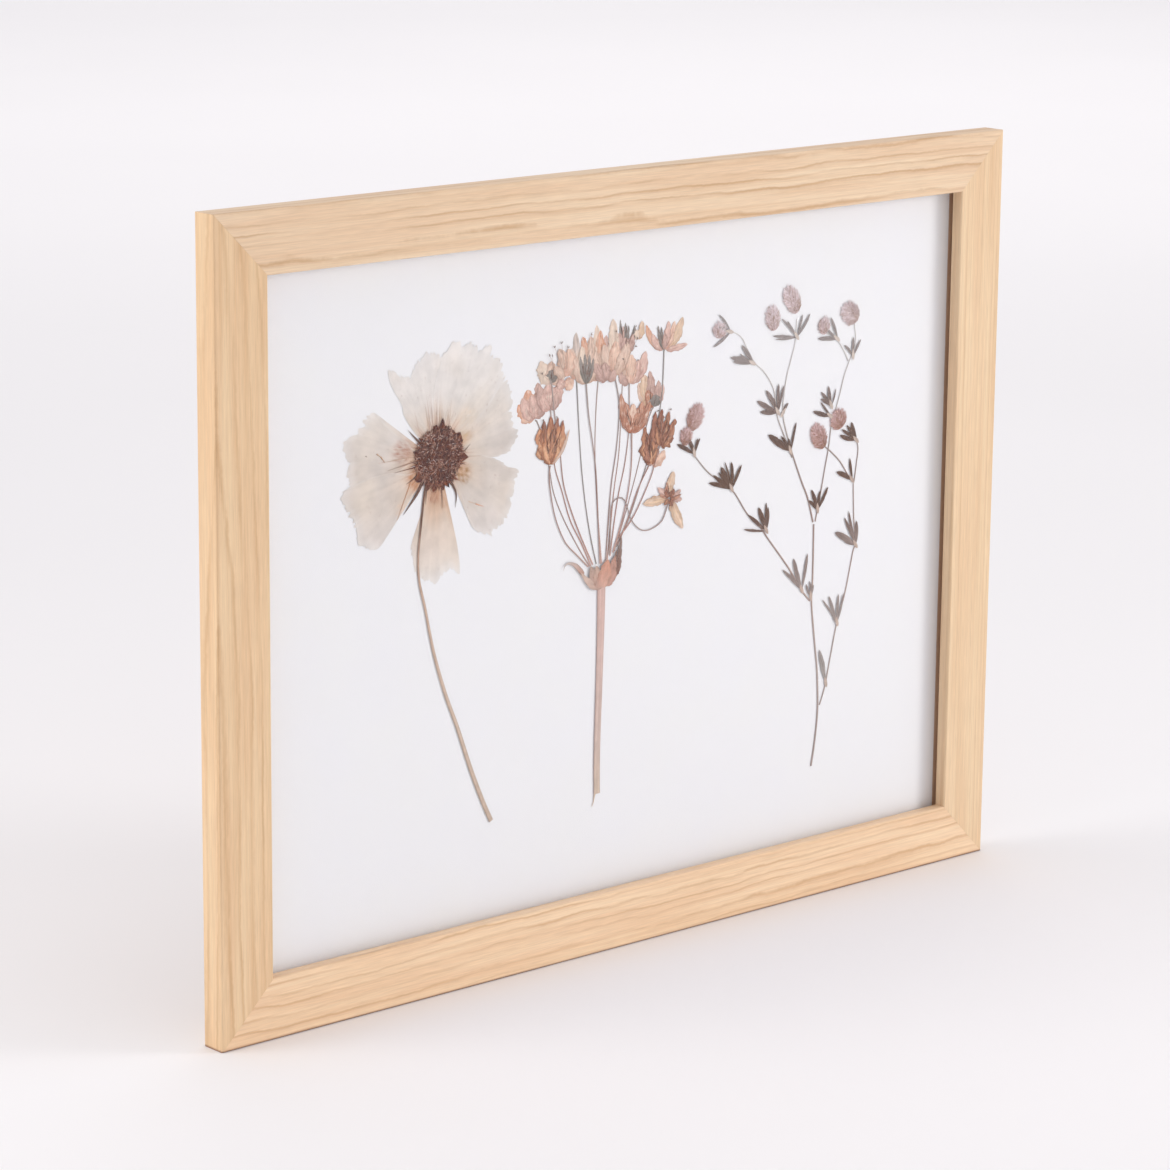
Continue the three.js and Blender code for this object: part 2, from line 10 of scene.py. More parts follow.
import bpy
import numpy as np
from bpy.props import FloatProperty, FloatVectorProperty, IntProperty, PointerProperty
from mathutils import Matrix, Vector, noise


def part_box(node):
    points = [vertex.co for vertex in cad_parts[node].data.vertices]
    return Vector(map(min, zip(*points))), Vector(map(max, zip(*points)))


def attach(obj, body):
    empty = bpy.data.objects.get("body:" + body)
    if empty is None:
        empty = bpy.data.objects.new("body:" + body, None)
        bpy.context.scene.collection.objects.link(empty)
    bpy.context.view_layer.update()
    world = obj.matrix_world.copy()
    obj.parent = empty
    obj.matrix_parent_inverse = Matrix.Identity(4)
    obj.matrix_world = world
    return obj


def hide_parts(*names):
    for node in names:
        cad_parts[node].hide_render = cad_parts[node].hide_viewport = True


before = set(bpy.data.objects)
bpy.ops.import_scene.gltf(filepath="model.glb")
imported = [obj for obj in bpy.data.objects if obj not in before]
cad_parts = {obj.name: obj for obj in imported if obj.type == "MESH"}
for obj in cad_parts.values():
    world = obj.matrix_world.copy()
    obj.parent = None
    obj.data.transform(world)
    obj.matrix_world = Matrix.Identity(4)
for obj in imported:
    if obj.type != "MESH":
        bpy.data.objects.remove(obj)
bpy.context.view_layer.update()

bl_info = {
    "name": "Pressed flower frame",
    "version": (1, 0, 0),
    "blender": (4, 5, 0),
    "location": "3D View > Sidebar > Flower frame",
    "description": "Builds the finishes and the pressed flowers of a mitred pine picture frame",
    "category": "Object",
}

MM = 0.001
CARD_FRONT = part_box("mount_card")[0].y / MM
# The tables give the flowers' places as they look through the pane, which shifts them by this much.
PANE_SHIFT = Matrix.Translation((-0.4 * MM, 0, 0.08 * MM))

# ---------------------------------------------------------------- colours


def linear(hex_colour):
    """An sRGB hex colour such as "EBCDA6" as linear red, green and blue."""
    channels = [int(hex_colour[i:i + 2], 16) / 255 for i in (0, 2, 4)]
    return tuple(c / 12.92 if c <= 0.04045 else ((c + 0.055) / 1.055) ** 2.4 for c in channels)


def solid(hex_colour):
    """An opaque linear colour for a shader."""
    return (*linear(hex_colour), 1)


# The pane throws back some light of the room and takes some from what lies behind it.
PANE_VEIL = 0.04
PANE_GAIN = 0.91


def behind_pane(hex_colour):
    """The real linear colour of tissue that looks like hex_colour through the pane."""
    return tuple(max(0.012, (c - PANE_VEIL) / PANE_GAIN) for c in linear(hex_colour))


def blended(first, second, share):
    """A colour between two linear colours."""
    share = min(1.0, max(0.0, share))
    return tuple(a + (b - a) * share for a, b in zip(first, second))


def tone_at(stops, place):
    """The colour at a place on a scale of (place, hex colour) stops."""
    if place <= stops[0][0]:
        return behind_pane(stops[0][1])
    for (low, first), (high, second) in zip(stops, stops[1:]):
        if place <= high:
            return blended(behind_pane(first), behind_pane(second), (place - low) / (high - low))
    return behind_pane(stops[-1][1])


# ---------------------------------------------------------------- settings a user would change


class FrameFinish(bpy.types.PropertyGroup):
    """Finish of the wood, the card and the stage."""

    earlywood: FloatVectorProperty(
        name="Earlywood", description="Pale wood between the rings",
        subtype="COLOR", min=0, max=1, default=linear("F0D3AE"))
    latewood: FloatVectorProperty(
        name="Latewood", description="Thin darker lines of the rings",
        subtype="COLOR", min=0, max=1, default=linear("CDA478"))
    ring_spacing: FloatProperty(
        name="Ring spacing", description="Distance between two rings across a rail",
        subtype="DISTANCE", unit="LENGTH", min=0.001, default=4.2 * MM)
    card: FloatVectorProperty(
        name="Card", description="White card behind the flowers",
        subtype="COLOR", min=0, max=1, default=linear("F0EFF5"))
    floor: FloatVectorProperty(
        name="Floor", description="Pale studio floor and backdrop",
        subtype="COLOR", min=0, max=1, default=linear("F5F4F6"))
    key_power: FloatProperty(
        name="Key light",
        description="Power of the near soft light at the right in front, in watts",
        min=0, default=4.5)
    ground_power: FloatProperty(
        name="Ground light", description="Power of the light over the floor behind, in watts",
        min=0, default=14.5)
    side_strength: FloatProperty(
        name="Side light", description="Strength of the soft light at the left", min=0, default=0.5)
    side_power: FloatProperty(
        name="Near side light", description="Power of the near soft light at the left, in watts",
        min=0, default=1.45)
    top_strength: FloatProperty(
        name="Top light", description="Strength of the soft light overhead", min=0, default=0.45)
    room_strength: FloatProperty(
        name="Room light", description="Strength of the even light of the room",
        min=0, default=0.625)


class FlowerFinish(bpy.types.PropertyGroup):
    """Finish of the pressed flowers."""

    petal_thickness: FloatProperty(
        name="Petal thickness", description="Thickness of a pressed petal or leaflet",
        subtype="DISTANCE", unit="LENGTH", min=0.00002, default=0.03 * MM)
    boss_stamens: IntProperty(
        name="Stamens", description="Stamens pressed into the open flower's boss",
        min=50, default=1500)
    head_hairs: IntProperty(
        name="Head hairs", description="Downy hairs on the largest clover head",
        min=50, default=620)


# ---------------------------------------------------------------- materials


def plug(tree, node, inputs):
    """Sets a node's inputs, each to a value or to another node's output."""
    for socket, value in inputs.items():
        if isinstance(value, bpy.types.NodeSocket):
            tree.links.new(value, node.inputs[socket])
        else:
            node.inputs[socket].default_value = value


def add_node(tree, kind, inputs=None, stops=(), **settings):
    """Adds a node with its settings and inputs, and a ramp's stops of (place, colour)."""
    made = tree.nodes.new("ShaderNode" + kind)
    for name, value in settings.items():
        setattr(made, name, value)
    plug(tree, made, inputs or {})
    for index, (place, colour) in enumerate(stops):
        elements = made.color_ramp.elements
        element = elements[index] if index < len(elements) else elements.new(place)
        element.position = place
        element.color = (*colour, 1)
    return made


def start_material(name):
    """A new material with its node tree and its Principled shader."""
    material = bpy.data.materials.new(name)
    material.use_nodes = True
    return material, material.node_tree, material.node_tree.nodes["Principled BSDF"]


def object_place(tree):
    """Where on the object a shader is, in metres."""
    return add_node(tree, "TexCoord").outputs["Object"]


def mix_colours(tree, share, first, second, blend_type="MIX"):
    """A mix of two colours, by a share of the second."""
    return add_node(tree, "Mix", {0: share, 6: first, 7: second},
                    data_type="RGBA", blend_type=blend_type).outputs[2]


def multiplied(tree, first, second):
    """One colour or shade times another."""
    return mix_colours(tree, 1.0, first, second, "MULTIPLY")


def stretch(tree, value, low, high, to_low=0.0, to_high=1.0):
    """A value's range from low to high, stretched to another range and held at its ends."""
    return add_node(tree, "MapRange", {0: value, 1: low, 2: high, 3: to_low, 4: to_high}).outputs[0]


def cloudy(tree, place, size_mm, detail=2.0, **inputs):
    """Cloudy noise with blotches of a size."""
    return add_node(tree, "TexNoise", {"Vector": place, "Scale": 1 / (size_mm * MM),
                                       "Detail": detail, **inputs}).outputs[0]


def calculated(tree, operation, *values):
    """The result of a calculation on values."""
    return add_node(tree, "Math", dict(enumerate(values)), operation=operation).outputs[0]


def raise_surface(tree, shader, height, strength, depth_mm):
    """Gives a surface small bumps of a height, at most so deep."""
    bump = add_node(tree, "Bump", {"Height": height, "Strength": strength,
                                   "Distance": depth_mm * MM})
    tree.links.new(bump.outputs[0], shader.inputs["Normal"])


def planed_pine(rail, upright, seed, spacing, bend, waver, slant, contrast, tone):
    """Pine, planed and clear lacquered: pale earlywood, thin tan latewood lines, a soft sheen."""
    finish = bpy.context.scene.frame_finish
    material, tree, shader = start_material("planed_pine_" + rail)
    place = object_place(tree)
    axes = add_node(tree, "SeparateXYZ", {0: place}).outputs
    along, across = ("Z", "X") if upright else ("X", "Z")
    grain = add_node(tree, "CombineXYZ", {0: axes[along], 1: axes[across], 2: axes["Y"]}).outputs[0]

    def grain_noise(length_mm, width_mm, detail=1.0, shift=0.0):
        size = (1 / (length_mm * MM), 1 / (width_mm * MM), 1 / (width_mm * MM))
        where = add_node(tree, "Mapping", {"Vector": grain, "Location": (seed + shift, seed, 0),
                                           "Scale": size}).outputs[0]
        return add_node(tree, "TexNoise", {"Vector": where, "Scale": 1.0,
                                           "Detail": detail}).outputs[0]

    def scaled_sum(value, factor, rest):
        return calculated(tree, "MULTIPLY_ADD", value, factor, rest)

    per_metre = 1 / (finish.ring_spacing * spacing)
    rings = scaled_sum(axes["Y"], 0.6 * per_metre, seed)
    rings = scaled_sum(axes[across], per_metre, rings)
    rings = scaled_sum(axes[along], slant * per_metre, rings)
    rings = scaled_sum(grain_noise(900, 11, 0.0, 13), 2.4, rings)
    rings = scaled_sum(grain_noise(160, 60), bend, rings)
    rings = scaled_sum(grain_noise(26, 16, 1.0, 5), waver, rings)
    rings = scaled_sum(grain_noise(3, 4, 1.0, 9), 0.16, rings)
    ring = calculated(tree, "FRACT", rings)
    latewood = add_node(tree, "ValToRGB", {0: ring}, stops=[
        (0.0, (0.06,) * 3), (1.0, (0.06,) * 3), (0.4, (0.1,) * 3), (0.66, (0.34,) * 3),
        (0.82, (1, 1, 1)), (0.9, (0.7,) * 3)]).outputs[0]
    strength = stretch(tree, grain_noise(90, 4, 2.0, 3), 0.36, 0.64, 0.15, contrast)
    line = calculated(tree, "MULTIPLY", latewood, strength)
    # real fibres are finer; 0.5 mm is as fine as shows
    fibres = grain_noise(12, 0.5, 3.0, 7)
    stripes = grain_noise(150, 1.6, 2.0, 21)
    pale = mix_colours(tree, stretch(tree, grain_noise(90, 7, 1.0, 2), 0.35, 0.65),
                       (*finish.earlywood, 1), solid("EAC8A2"))
    striped = mix_colours(tree, stretch(tree, stripes, 0.45, 0.75, 0.0, 0.55), pale,
                          solid("DDB68C"))
    wood = mix_colours(tree, line, striped, (*finish.latewood, 1))
    streaked = multiplied(tree, wood, stretch(tree, fibres, 0.3, 0.7, 0.91, 1.05))
    # the rail's tone is partly its own pine and partly painted light and shade
    toned = multiplied(tree, streaked, (*tone, 1))
    # painted shade: the bottom edge is darkened where the frame stands on the floor, a painted
    # contact shadow
    clear_of_contact_shade = stretch(tree, axes["Z"], 0.2 * MM, 1.1 * MM)
    plug(tree, shader, {
        "Base Color": mix_colours(tree, clear_of_contact_shade, solid("8A604A"), toned),
        "Roughness": stretch(tree, fibres, 0.3, 0.7, 0.45, 0.6),
        "Coat Weight": 0.25, "Coat Roughness": 0.35})
    raise_surface(tree, shader, scaled_sum(line, 0.5, fibres), 0.2, 0.06)
    return material


COATED_GLASS_IOR = 1.33     # of glass whose coating halves what it reflects


def float_glass():
    """Clear float glass, fire polished and coated: mirror-smooth, half as bright as bare glass."""
    material, tree, shader = start_material("float_glass")
    plug(tree, shader, {"Base Color": solid("FBFDFC"), "Roughness": 0.0, "IOR": COATED_GLASS_IOR,
                        "Transmission Weight": 1.0})
    return material


SHADE_MARGIN_FROM = 190.3        # how far left or right of the card's middle its margins of painted shade start


def smooth_white_card():
    """Wood-free card, calendered: matt white with a very faint cloudy tone and fine tooth."""
    finish = bpy.context.scene.frame_finish
    material, tree, shader = start_material("smooth_white_card")
    place = object_place(tree)
    tone = mix_colours(tree, cloudy(tree, place, 35, 3.0), (*finish.card, 1), solid("F2F1F2"))
    # painted shade: the margins under the rails' lips are darkened, which shows as a dark line
    # beside the right wall
    axes = add_node(tree, "SeparateXYZ", {0: place}).outputs
    shade_margin = calculated(tree, "GREATER_THAN", calculated(tree, "ABSOLUTE", axes["X"]),
                        SHADE_MARGIN_FROM * MM)
    plug(tree, shader, {"Base Color": mix_colours(tree, shade_margin, tone, solid("C4A088")),
                        "Roughness": 0.85})
    # 0.6 mm tooth, coarser than real paper fibres so that it shows close up
    raise_surface(tree, shader, cloudy(tree, place, 0.6), 0.15, 0.03)
    return material


def pressed_hardboard():
    """Hardboard, hot pressed on a wire screen: brown flecked fibres under a waffle of dimples."""
    material, tree, shader = start_material("pressed_hardboard")
    place = object_place(tree)
    flecks = cloudy(tree, place, 2.5, 6.0, Roughness=0.7)
    brown = add_node(tree, "ValToRGB", {0: flecks}, stops=[
        (0.3, linear("6F4C30")), (0.7, linear("A57C55")), (0.5, linear("8A6242"))]).outputs[0]
    faded = mix_colours(tree, cloudy(tree, place, 60), brown, solid("9A7450"))
    plug(tree, shader, {"Base Color": faded, "Roughness": 0.72})
    # the wire screen has a 1.4 mm mesh
    screen = add_node(tree, "TexVoronoi", {"Vector": place, "Scale": 1 / (1.4 * MM),
                                           "Randomness": 0.15}).outputs[0]
    raise_surface(tree, shader, calculated(tree, "ADD", screen, flecks), 0.5, 0.15)
    return material


def plated_steel(name, light, dark, crystal_mm):
    """Sheet steel, stamped and plated: soft crystals of two tones and fine rolling marks."""
    material, tree, shader = start_material(name)
    place = object_place(tree)
    crystals = add_node(tree, "TexVoronoi", {"Vector": place, "Scale": 1 / (crystal_mm * MM)})
    tone = add_node(tree, "SeparateColor", {0: crystals.outputs["Color"]}).outputs[0]
    long_grain = add_node(tree, "Mapping", {"Vector": place,
                                            "Scale": (1 / (6 * MM), 1 / MM, 1 / (0.15 * MM))})
    marks = add_node(tree, "TexNoise", {"Vector": long_grain.outputs[0], "Scale": 1.0}).outputs[0]
    plug(tree, shader, {"Base Color": mix_colours(tree, tone, solid(light), solid(dark)),
                        "Metallic": 1.0, "Roughness": stretch(tree, marks, 0.3, 0.7, 0.25, 0.45)})
    raise_surface(tree, shader, marks, 0.2, 0.01)
    return material


def pressed_tissue(name, veins, vein_depth, mottle_mm, spots):
    """Plant tissue, pressed and dried: papery and matt, with veins along it and a patchy tone.

    The tissue's own colours are in the attribute "tint"; veins is how many lie side by side.
    """
    material, tree, shader = start_material(name)
    coordinates = add_node(tree, "TexCoord")
    place = coordinates.outputs["Object"]
    tint = add_node(tree, "Attribute", attribute_name="tint").outputs["Color"]
    drift = add_node(tree, "Mapping", {"Vector": place, "Scale": (25, 25, 25)}).outputs[0]
    lengthwise = add_node(tree, "Mapping", {"Vector": coordinates.outputs["UV"],
                                            "Scale": (veins, 1.3, 1)}).outputs[0]
    where = add_node(tree, "VectorMath", {0: lengthwise, 1: drift}, operation="ADD").outputs[0]
    vein = add_node(tree, "TexNoise", {"Vector": where, "Scale": 1.0, "Detail": 3.0}).outputs[0]
    shade = stretch(tree, vein, 0.33, 0.6, 1 - vein_depth, 1 + vein_depth * 0.35)
    patch = stretch(tree, cloudy(tree, place, mottle_mm, 4.0), 0.35, 0.65, 0.93, 1.05)
    patched = multiplied(tree, multiplied(tree, tint, shade), patch)
    speck = stretch(tree, cloudy(tree, place, 1.1, 1.0), 0.70, 0.76, 0.0, spots)
    plug(tree, shader, {"Base Color": mix_colours(tree, speck, patched, solid("8A5C48")),
                        "Roughness": 0.8, "Specular IOR Level": 0.25})
    raise_surface(tree, shader, vein, 0.3, 0.05)
    return material


# ---------------------------------------------------------------- shaping helpers

TEMPLATES = {}
SMOOTH_BELOW = math.radians(50)     # edges that bend less are shaded smooth


def deselect_all():
    """Leaves nothing selected, so that an operator acts only on what is picked next."""
    bpy.ops.object.select_all(action="DESELECT")


def template(kind, across, along):
    """A flat grid or a ringed closed cylinder, modelled once and then copied."""
    key = (kind, across, along)
    if key in TEMPLATES:
        return TEMPLATES[key]
    deselect_all()
    if kind == "grid":
        bpy.ops.mesh.primitive_grid_add(x_subdivisions=across, y_subdivisions=along, size=1)
    else:
        bpy.ops.mesh.primitive_cylinder_add(vertices=across, radius=0.5, depth=1)
        bpy.ops.object.mode_set(mode="EDIT")
        bpy.ops.mesh.select_all(action="DESELECT")
        bpy.ops.object.mode_set(mode="OBJECT")
        made = bpy.context.object.data
        for edge in made.edges:
            ends = [made.vertices[i].co.z for i in edge.vertices]
            edge.select = abs(ends[0] - ends[1]) > 0.5
        bpy.ops.object.mode_set(mode="EDIT")
        bpy.ops.mesh.subdivide(number_cuts=along - 1)
        bpy.ops.object.mode_set(mode="OBJECT")
    primitive = bpy.context.object
    TEMPLATES[key] = primitive.data
    bpy.data.objects.remove(primitive)
    return TEMPLATES[key]


def spots_on(kind, vertex):
    """A template point as (u, v): u across the sheet or round the tube, v along it, 0 to 1."""
    if kind == "grid":
        return vertex.co.x + 0.5, vertex.co.y + 0.5
    return (math.atan2(vertex.co.y, vertex.co.x) / math.tau) % 1.0, vertex.co.z + 0.5


def shaped(kind, across, along, place, tint):
    """A copy of a template, each point put at place(u, v) in mm and coloured tint(u, v)."""
    mesh = template(kind, across, along).copy()
    colours = mesh.color_attributes.new("tint", "FLOAT_COLOR", "POINT")
    for vertex in mesh.vertices:
        u, v = spots_on(kind, vertex)
        colours.data[vertex.index].color = (*tint(u, v), 1)
        vertex.co = Vector(place(u, v)) * MM
    made = bpy.data.objects.new("part", mesh)
    bpy.context.scene.collection.objects.link(made)
    return made


def join_parts(parts):
    """Joins parts into the first of them."""
    deselect_all()
    for part in parts:
        part.select_set(True)
    bpy.context.view_layer.objects.active = parts[0]
    if len(parts) > 1:
        bpy.ops.object.join()
    return parts[0]


def thicken(sheets, thickness):
    """Joins flat sheets and gives them thickness, away from the front."""
    sheet = join_parts(sheets)
    solidify = sheet.modifiers.new("thickness", "SOLIDIFY")
    solidify.thickness = thickness
    solidify.offset = -1
    bpy.ops.object.modifier_apply(modifier=solidify.name)
    return sheet


def dress(piece, material):
    """Gives a piece its one material."""
    piece.data.materials.clear()
    piece.data.materials.append(material)


def add_piece(name, material, sheets=(), tubes=(), nodes=()):
    """Makes one finished piece from flat sheets and round tubes; it stands for the named nodes."""
    parts = list(tubes)
    if sheets:
        parts.append(thicken(list(sheets), bpy.context.scene.flower_finish.petal_thickness))
    piece = join_parts(parts)
    piece.data.transform(PANE_SHIFT)
    piece.name = name
    piece.data.name = name
    dress(piece, material)
    bpy.ops.object.shade_smooth_by_angle(angle=SMOOTH_BELOW)
    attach(piece, "root")
    if nodes:
        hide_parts(*nodes)


def smooth_line(points, steps):
    """A smooth line through given [x, z] points, with so many steps between each two."""
    last = len(points) - 1
    line = []
    for i in range(last):
        picks = (max(i - 1, 0), i, i + 1, min(i + 2, last))
        before, here, there, after = (Vector(points[k]) for k in picks)
        for step in range(steps):
            t = step / steps
            line.append(0.5 * (2 * here + (there - before) * t
                               + (2 * before - 5 * here + 4 * there - after) * t ** 2
                               + (3 * here - before - 3 * there + after) * t ** 3))
    line.append(Vector(points[-1]))
    return line


def evenly(line, count):
    """A line's points again, count + 1 of them, the same distance apart."""
    lengths = np.concatenate([[0], np.cumsum([(b - a).length for a, b in zip(line, line[1:])])])
    places = np.linspace(0, lengths[-1], count + 1)
    return [Vector((np.interp(p, lengths, [q[0] for q in line]),
                    np.interp(p, lengths, [q[1] for q in line]))) for p in places]


def station(line, v):
    """The nearest point of an even line to a share v of its length, its index and its heading."""
    last = len(line) - 1
    index = min(last, max(0, round(v * last)))
    ahead = line[min(index + 1, last)] - line[max(index - 1, 0)]
    return line[index], index, ahead.normalized()


def wander(x, y, z):
    """Smooth noise at a point, between about -1 and 1."""
    return noise.noise(Vector((x, y, z)))


def stalk(route, widths, depth, flatness, tint, sides=8, step=2.5, ribs=0.0):
    """A flattened stalk along a route, its width going through widths from end to end."""
    line = smooth_line(route, 8)
    length = sum((b - a).length for a, b in zip(line, line[1:]))
    rings = max(3, round(length / step))
    line = evenly(line, rings)
    width_places = np.linspace(0, 1, len(widths))

    def place(u, v):
        here, _, ahead = station(line, v)
        half = float(np.interp(v, width_places, widths)) / 2
        angle = u * math.tau
        half *= 1 + ribs * math.sin(angle * 5)
        side = half * math.cos(angle)
        return (here.x + ahead.y * side, depth - half * flatness * math.sin(angle),
                here.y - ahead.x * side)

    def colour(u, v):
        return tint(u, v, station(line, v)[0].y)

    return shaped("tube", sides, rings, place, colour)


def lance(route, width, depth, tint, bend=0.0, fullness=0.8, blunt=0.75, rows=9, columns=5,
          cup=0.0, ragged=0.12, seed=0.0):
    """A leaf-shaped sheet along a route; blunt moves its widest place towards the base."""
    route = [Vector(point) for point in route]
    if bend:
        ahead = (route[-1] - route[0]).normalized()
        route.insert(1, route[0].lerp(route[-1], 0.5) + Vector((ahead.y, -ahead.x)) * bend)
    line = evenly(smooth_line(route, 6), rows)

    def place(u, v):
        here, index, ahead = station(line, v)
        profile = math.sin(math.pi * v ** blunt) ** fullness if 0 < index < rows else 0.0
        half = max(0.06, 0.5 * width * profile)
        half *= 1 + ragged * wander(seed + u * 2, v * 6, seed)
        half *= 1 + 0.7 * ragged * wander(seed + u * 2, v * 17, seed)
        spot = here + Vector((ahead.y, -ahead.x)) * ((2 * u - 1) * half)
        lift = cup * (abs(2 * u - 1) ** 2 - 0.4) + 0.006 * math.sin(9 * v + seed)
        return spot.x, depth + lift, spot.y

    return shaped("grid", columns, rows, place, tint)


def strand(foot, depth, heading, length, width, colour, lean=0.0):
    """A strand in mm from a foot [x, z] at a depth, along a heading [x, z] that leans in depth."""
    return (foot[0], depth, foot[1]), (heading[0], lean, heading[1]), length, width, colour


def scattered(copies, sides=4, tip=0.25):
    """One mesh of tapered strands."""
    deselect_all()
    bpy.ops.mesh.primitive_cone_add(vertices=sides, radius1=0.5, radius2=0.5 * tip, depth=1)
    cone = bpy.context.object
    points = np.array([v.co for v in cone.data.vertices])
    faces = [tuple(face.vertices) for face in cone.data.polygons]
    bpy.data.objects.remove(cone)
    count = len(points)
    every_point, every_face, every_colour = [], [], []
    for number, (foot, heading, length, width, colour) in enumerate(copies):
        heading = Vector(heading).normalized()
        turn = np.array(heading.to_track_quat("Z", "Y").to_matrix())
        sized = points * (width, width, length) + (0, 0, length / 2)
        every_point.append((sized @ turn.T + np.array(foot)) * MM)
        every_face += [tuple(i + number * count for i in face) for face in faces]
        every_colour.append(np.tile((*colour, 1), (count, 1)))
    mesh = bpy.data.meshes.new("strands")
    mesh.from_pydata(np.concatenate(every_point).tolist(), [], every_face)
    colours = mesh.color_attributes.new("tint", "FLOAT_COLOR", "POINT")
    colours.data.foreach_set("color", np.concatenate(every_colour).ravel().astype(np.float32))
    made = bpy.data.objects.new("strands", mesh)
    bpy.context.scene.collection.objects.link(made)
    return made


CORE_HALF_DEPTH = 0.12      # of the pressed cores of the boss and of the clover heads


def lumpy_disc(centre, half_width, half_height, depth, half_depth, tilt, tint, segments, rings,
               lump=0.1, seed=0.0):
    """A flattened, lumpy ball facing the front, tilted in degrees to the right from upright."""
    deselect_all()
    bpy.ops.mesh.primitive_uv_sphere_add(segments=segments, ring_count=rings, radius=1)
    ball = bpy.context.object
    colours = ball.data.color_attributes.new("tint", "FLOAT_COLOR", "POINT")
    turn = math.radians(tilt)
    for vertex in ball.data.vertices:
        x, y, z = vertex.co
        swell = 1 + lump * wander(x * 4 + seed, y * 4, z * 4)
        across, up = x * half_width * swell, z * half_height * swell
        vertex.co = Vector((centre[0] + across * math.cos(turn) + up * math.sin(turn),
                            depth + y * half_depth,
                            centre[1] - across * math.sin(turn) + up * math.cos(turn))) * MM
        colours.data[vertex.index].color = (*tint(x, z), 1)
    return ball


LOWEST_LAYER = 0.08     # from the card to the middle of layer 0
LAYER_PITCH = 0.09


def layer_middle(layer):
    """Depth in mm of the middle of a pressed layer; layer 0 lies on the card."""
    return CARD_FRONT - LOWEST_LAYER - LAYER_PITCH * layer


class BuildStep:
    """What all building steps share: each can be undone."""

    bl_options = {"REGISTER", "UNDO"}


# ---------------------------------------------------------------- frame finishes

# The grain of each rail: whether it stands upright, where the pattern starts, how wide its rings
# are, how many rings it wanders slowly and quickly, how much it slants, how strong the lines are,
# and how much redder, greener and bluer it is than the others, partly its own pine and partly
# painted light and shade that make up for how brightly each rail is lit: the left rail darker,
# the bottom rail lighter.
RAIL_GRAIN = {
    "rail_top": (False, 3.1, 1.1, 1.5, 0.75, 0.006, 1.0, (1.0, 1.04, 1.12)),
    "rail_bottom": (False, 11.7, 1.0, 1.8, 1.0, -0.006, 0.8, (1.09, 1.1, 1.14)),
    "rail_left": (True, 23.4, 1.5, 2.2, 0.4, 0.03, 0.7, (0.98, 0.97, 0.93)),
    "rail_right": (True, 31.9, 0.55, 0.9, 0.25, 0.004, 0.4, (1.0, 1.02, 1.02)),
}


class FLOWERFRAME_OT_rails(BuildStep, bpy.types.Operator):
    """Give the four mitred rails their planed pine, each with its own grain"""

    bl_idname = "flower_frame.rails"
    bl_label = "Pine rails"

    def execute(self, context):
        for rail, grain in RAIL_GRAIN.items():
            dress(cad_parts[rail], planed_pine(rail, *grain))
        return {"FINISHED"}


class FLOWERFRAME_OT_sheets(BuildStep, bpy.types.Operator):
    """Give the glass, the white card and the hardboard back their finishes"""

    bl_idname = "flower_frame.sheets"
    bl_label = "Glass, card and back board"

    def execute(self, context):
        finishes = {"glass_pane": float_glass, "mount_card": smooth_white_card,
                    "backing_board": pressed_hardboard}
        for node, finish in finishes.items():
            dress(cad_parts[node], finish())
        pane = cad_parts["glass_pane"]
        pane.visible_shadow = False
        pane.visible_diffuse = False
        return {"FINISHED"}


class FLOWERFRAME_OT_fixings(BuildStep, bpy.types.Operator):
    """Give the bendable tabs their zinc and the hanger and its pins their brass plating"""

    bl_idname = "flower_frame.fixings"
    bl_label = "Tabs and hanger"

    def execute(self, context):
        zinc = plated_steel("zinc_plated_steel", "B9BBBD", "9FA2A5", 1.5)
        brass = plated_steel("brass_plated_steel", "CFAE66", "B8934C", 0.8)
        for node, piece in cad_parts.items():
            if node.startswith("board_tab"):
                dress(piece, zinc)
            if node.startswith("hanger"):
                dress(piece, brass)
        return {"FINISHED"}


# ---------------------------------------------------------------- left specimen: open flower

FLOWER_CENTRE = Vector((-98.8, 222))
PETAL_FOOT = 4          # the petals start this far from the flower's centre, under the boss
PETAL_PITCH = 0.038     # from one layer of petals to the next
PETAL_COLUMNS = 220     # round a petal's edge
PETAL_ROWS = 26         # from its foot to its edge
BOSS_RADIUS = 12.6
BOSS_DEPTH = CARD_FRONT - 0.42
DRY_MARK_DEPTH = CARD_FRONT - 0.24
FLOWER_STEM_DEPTH = CARD_FRONT - 0.34

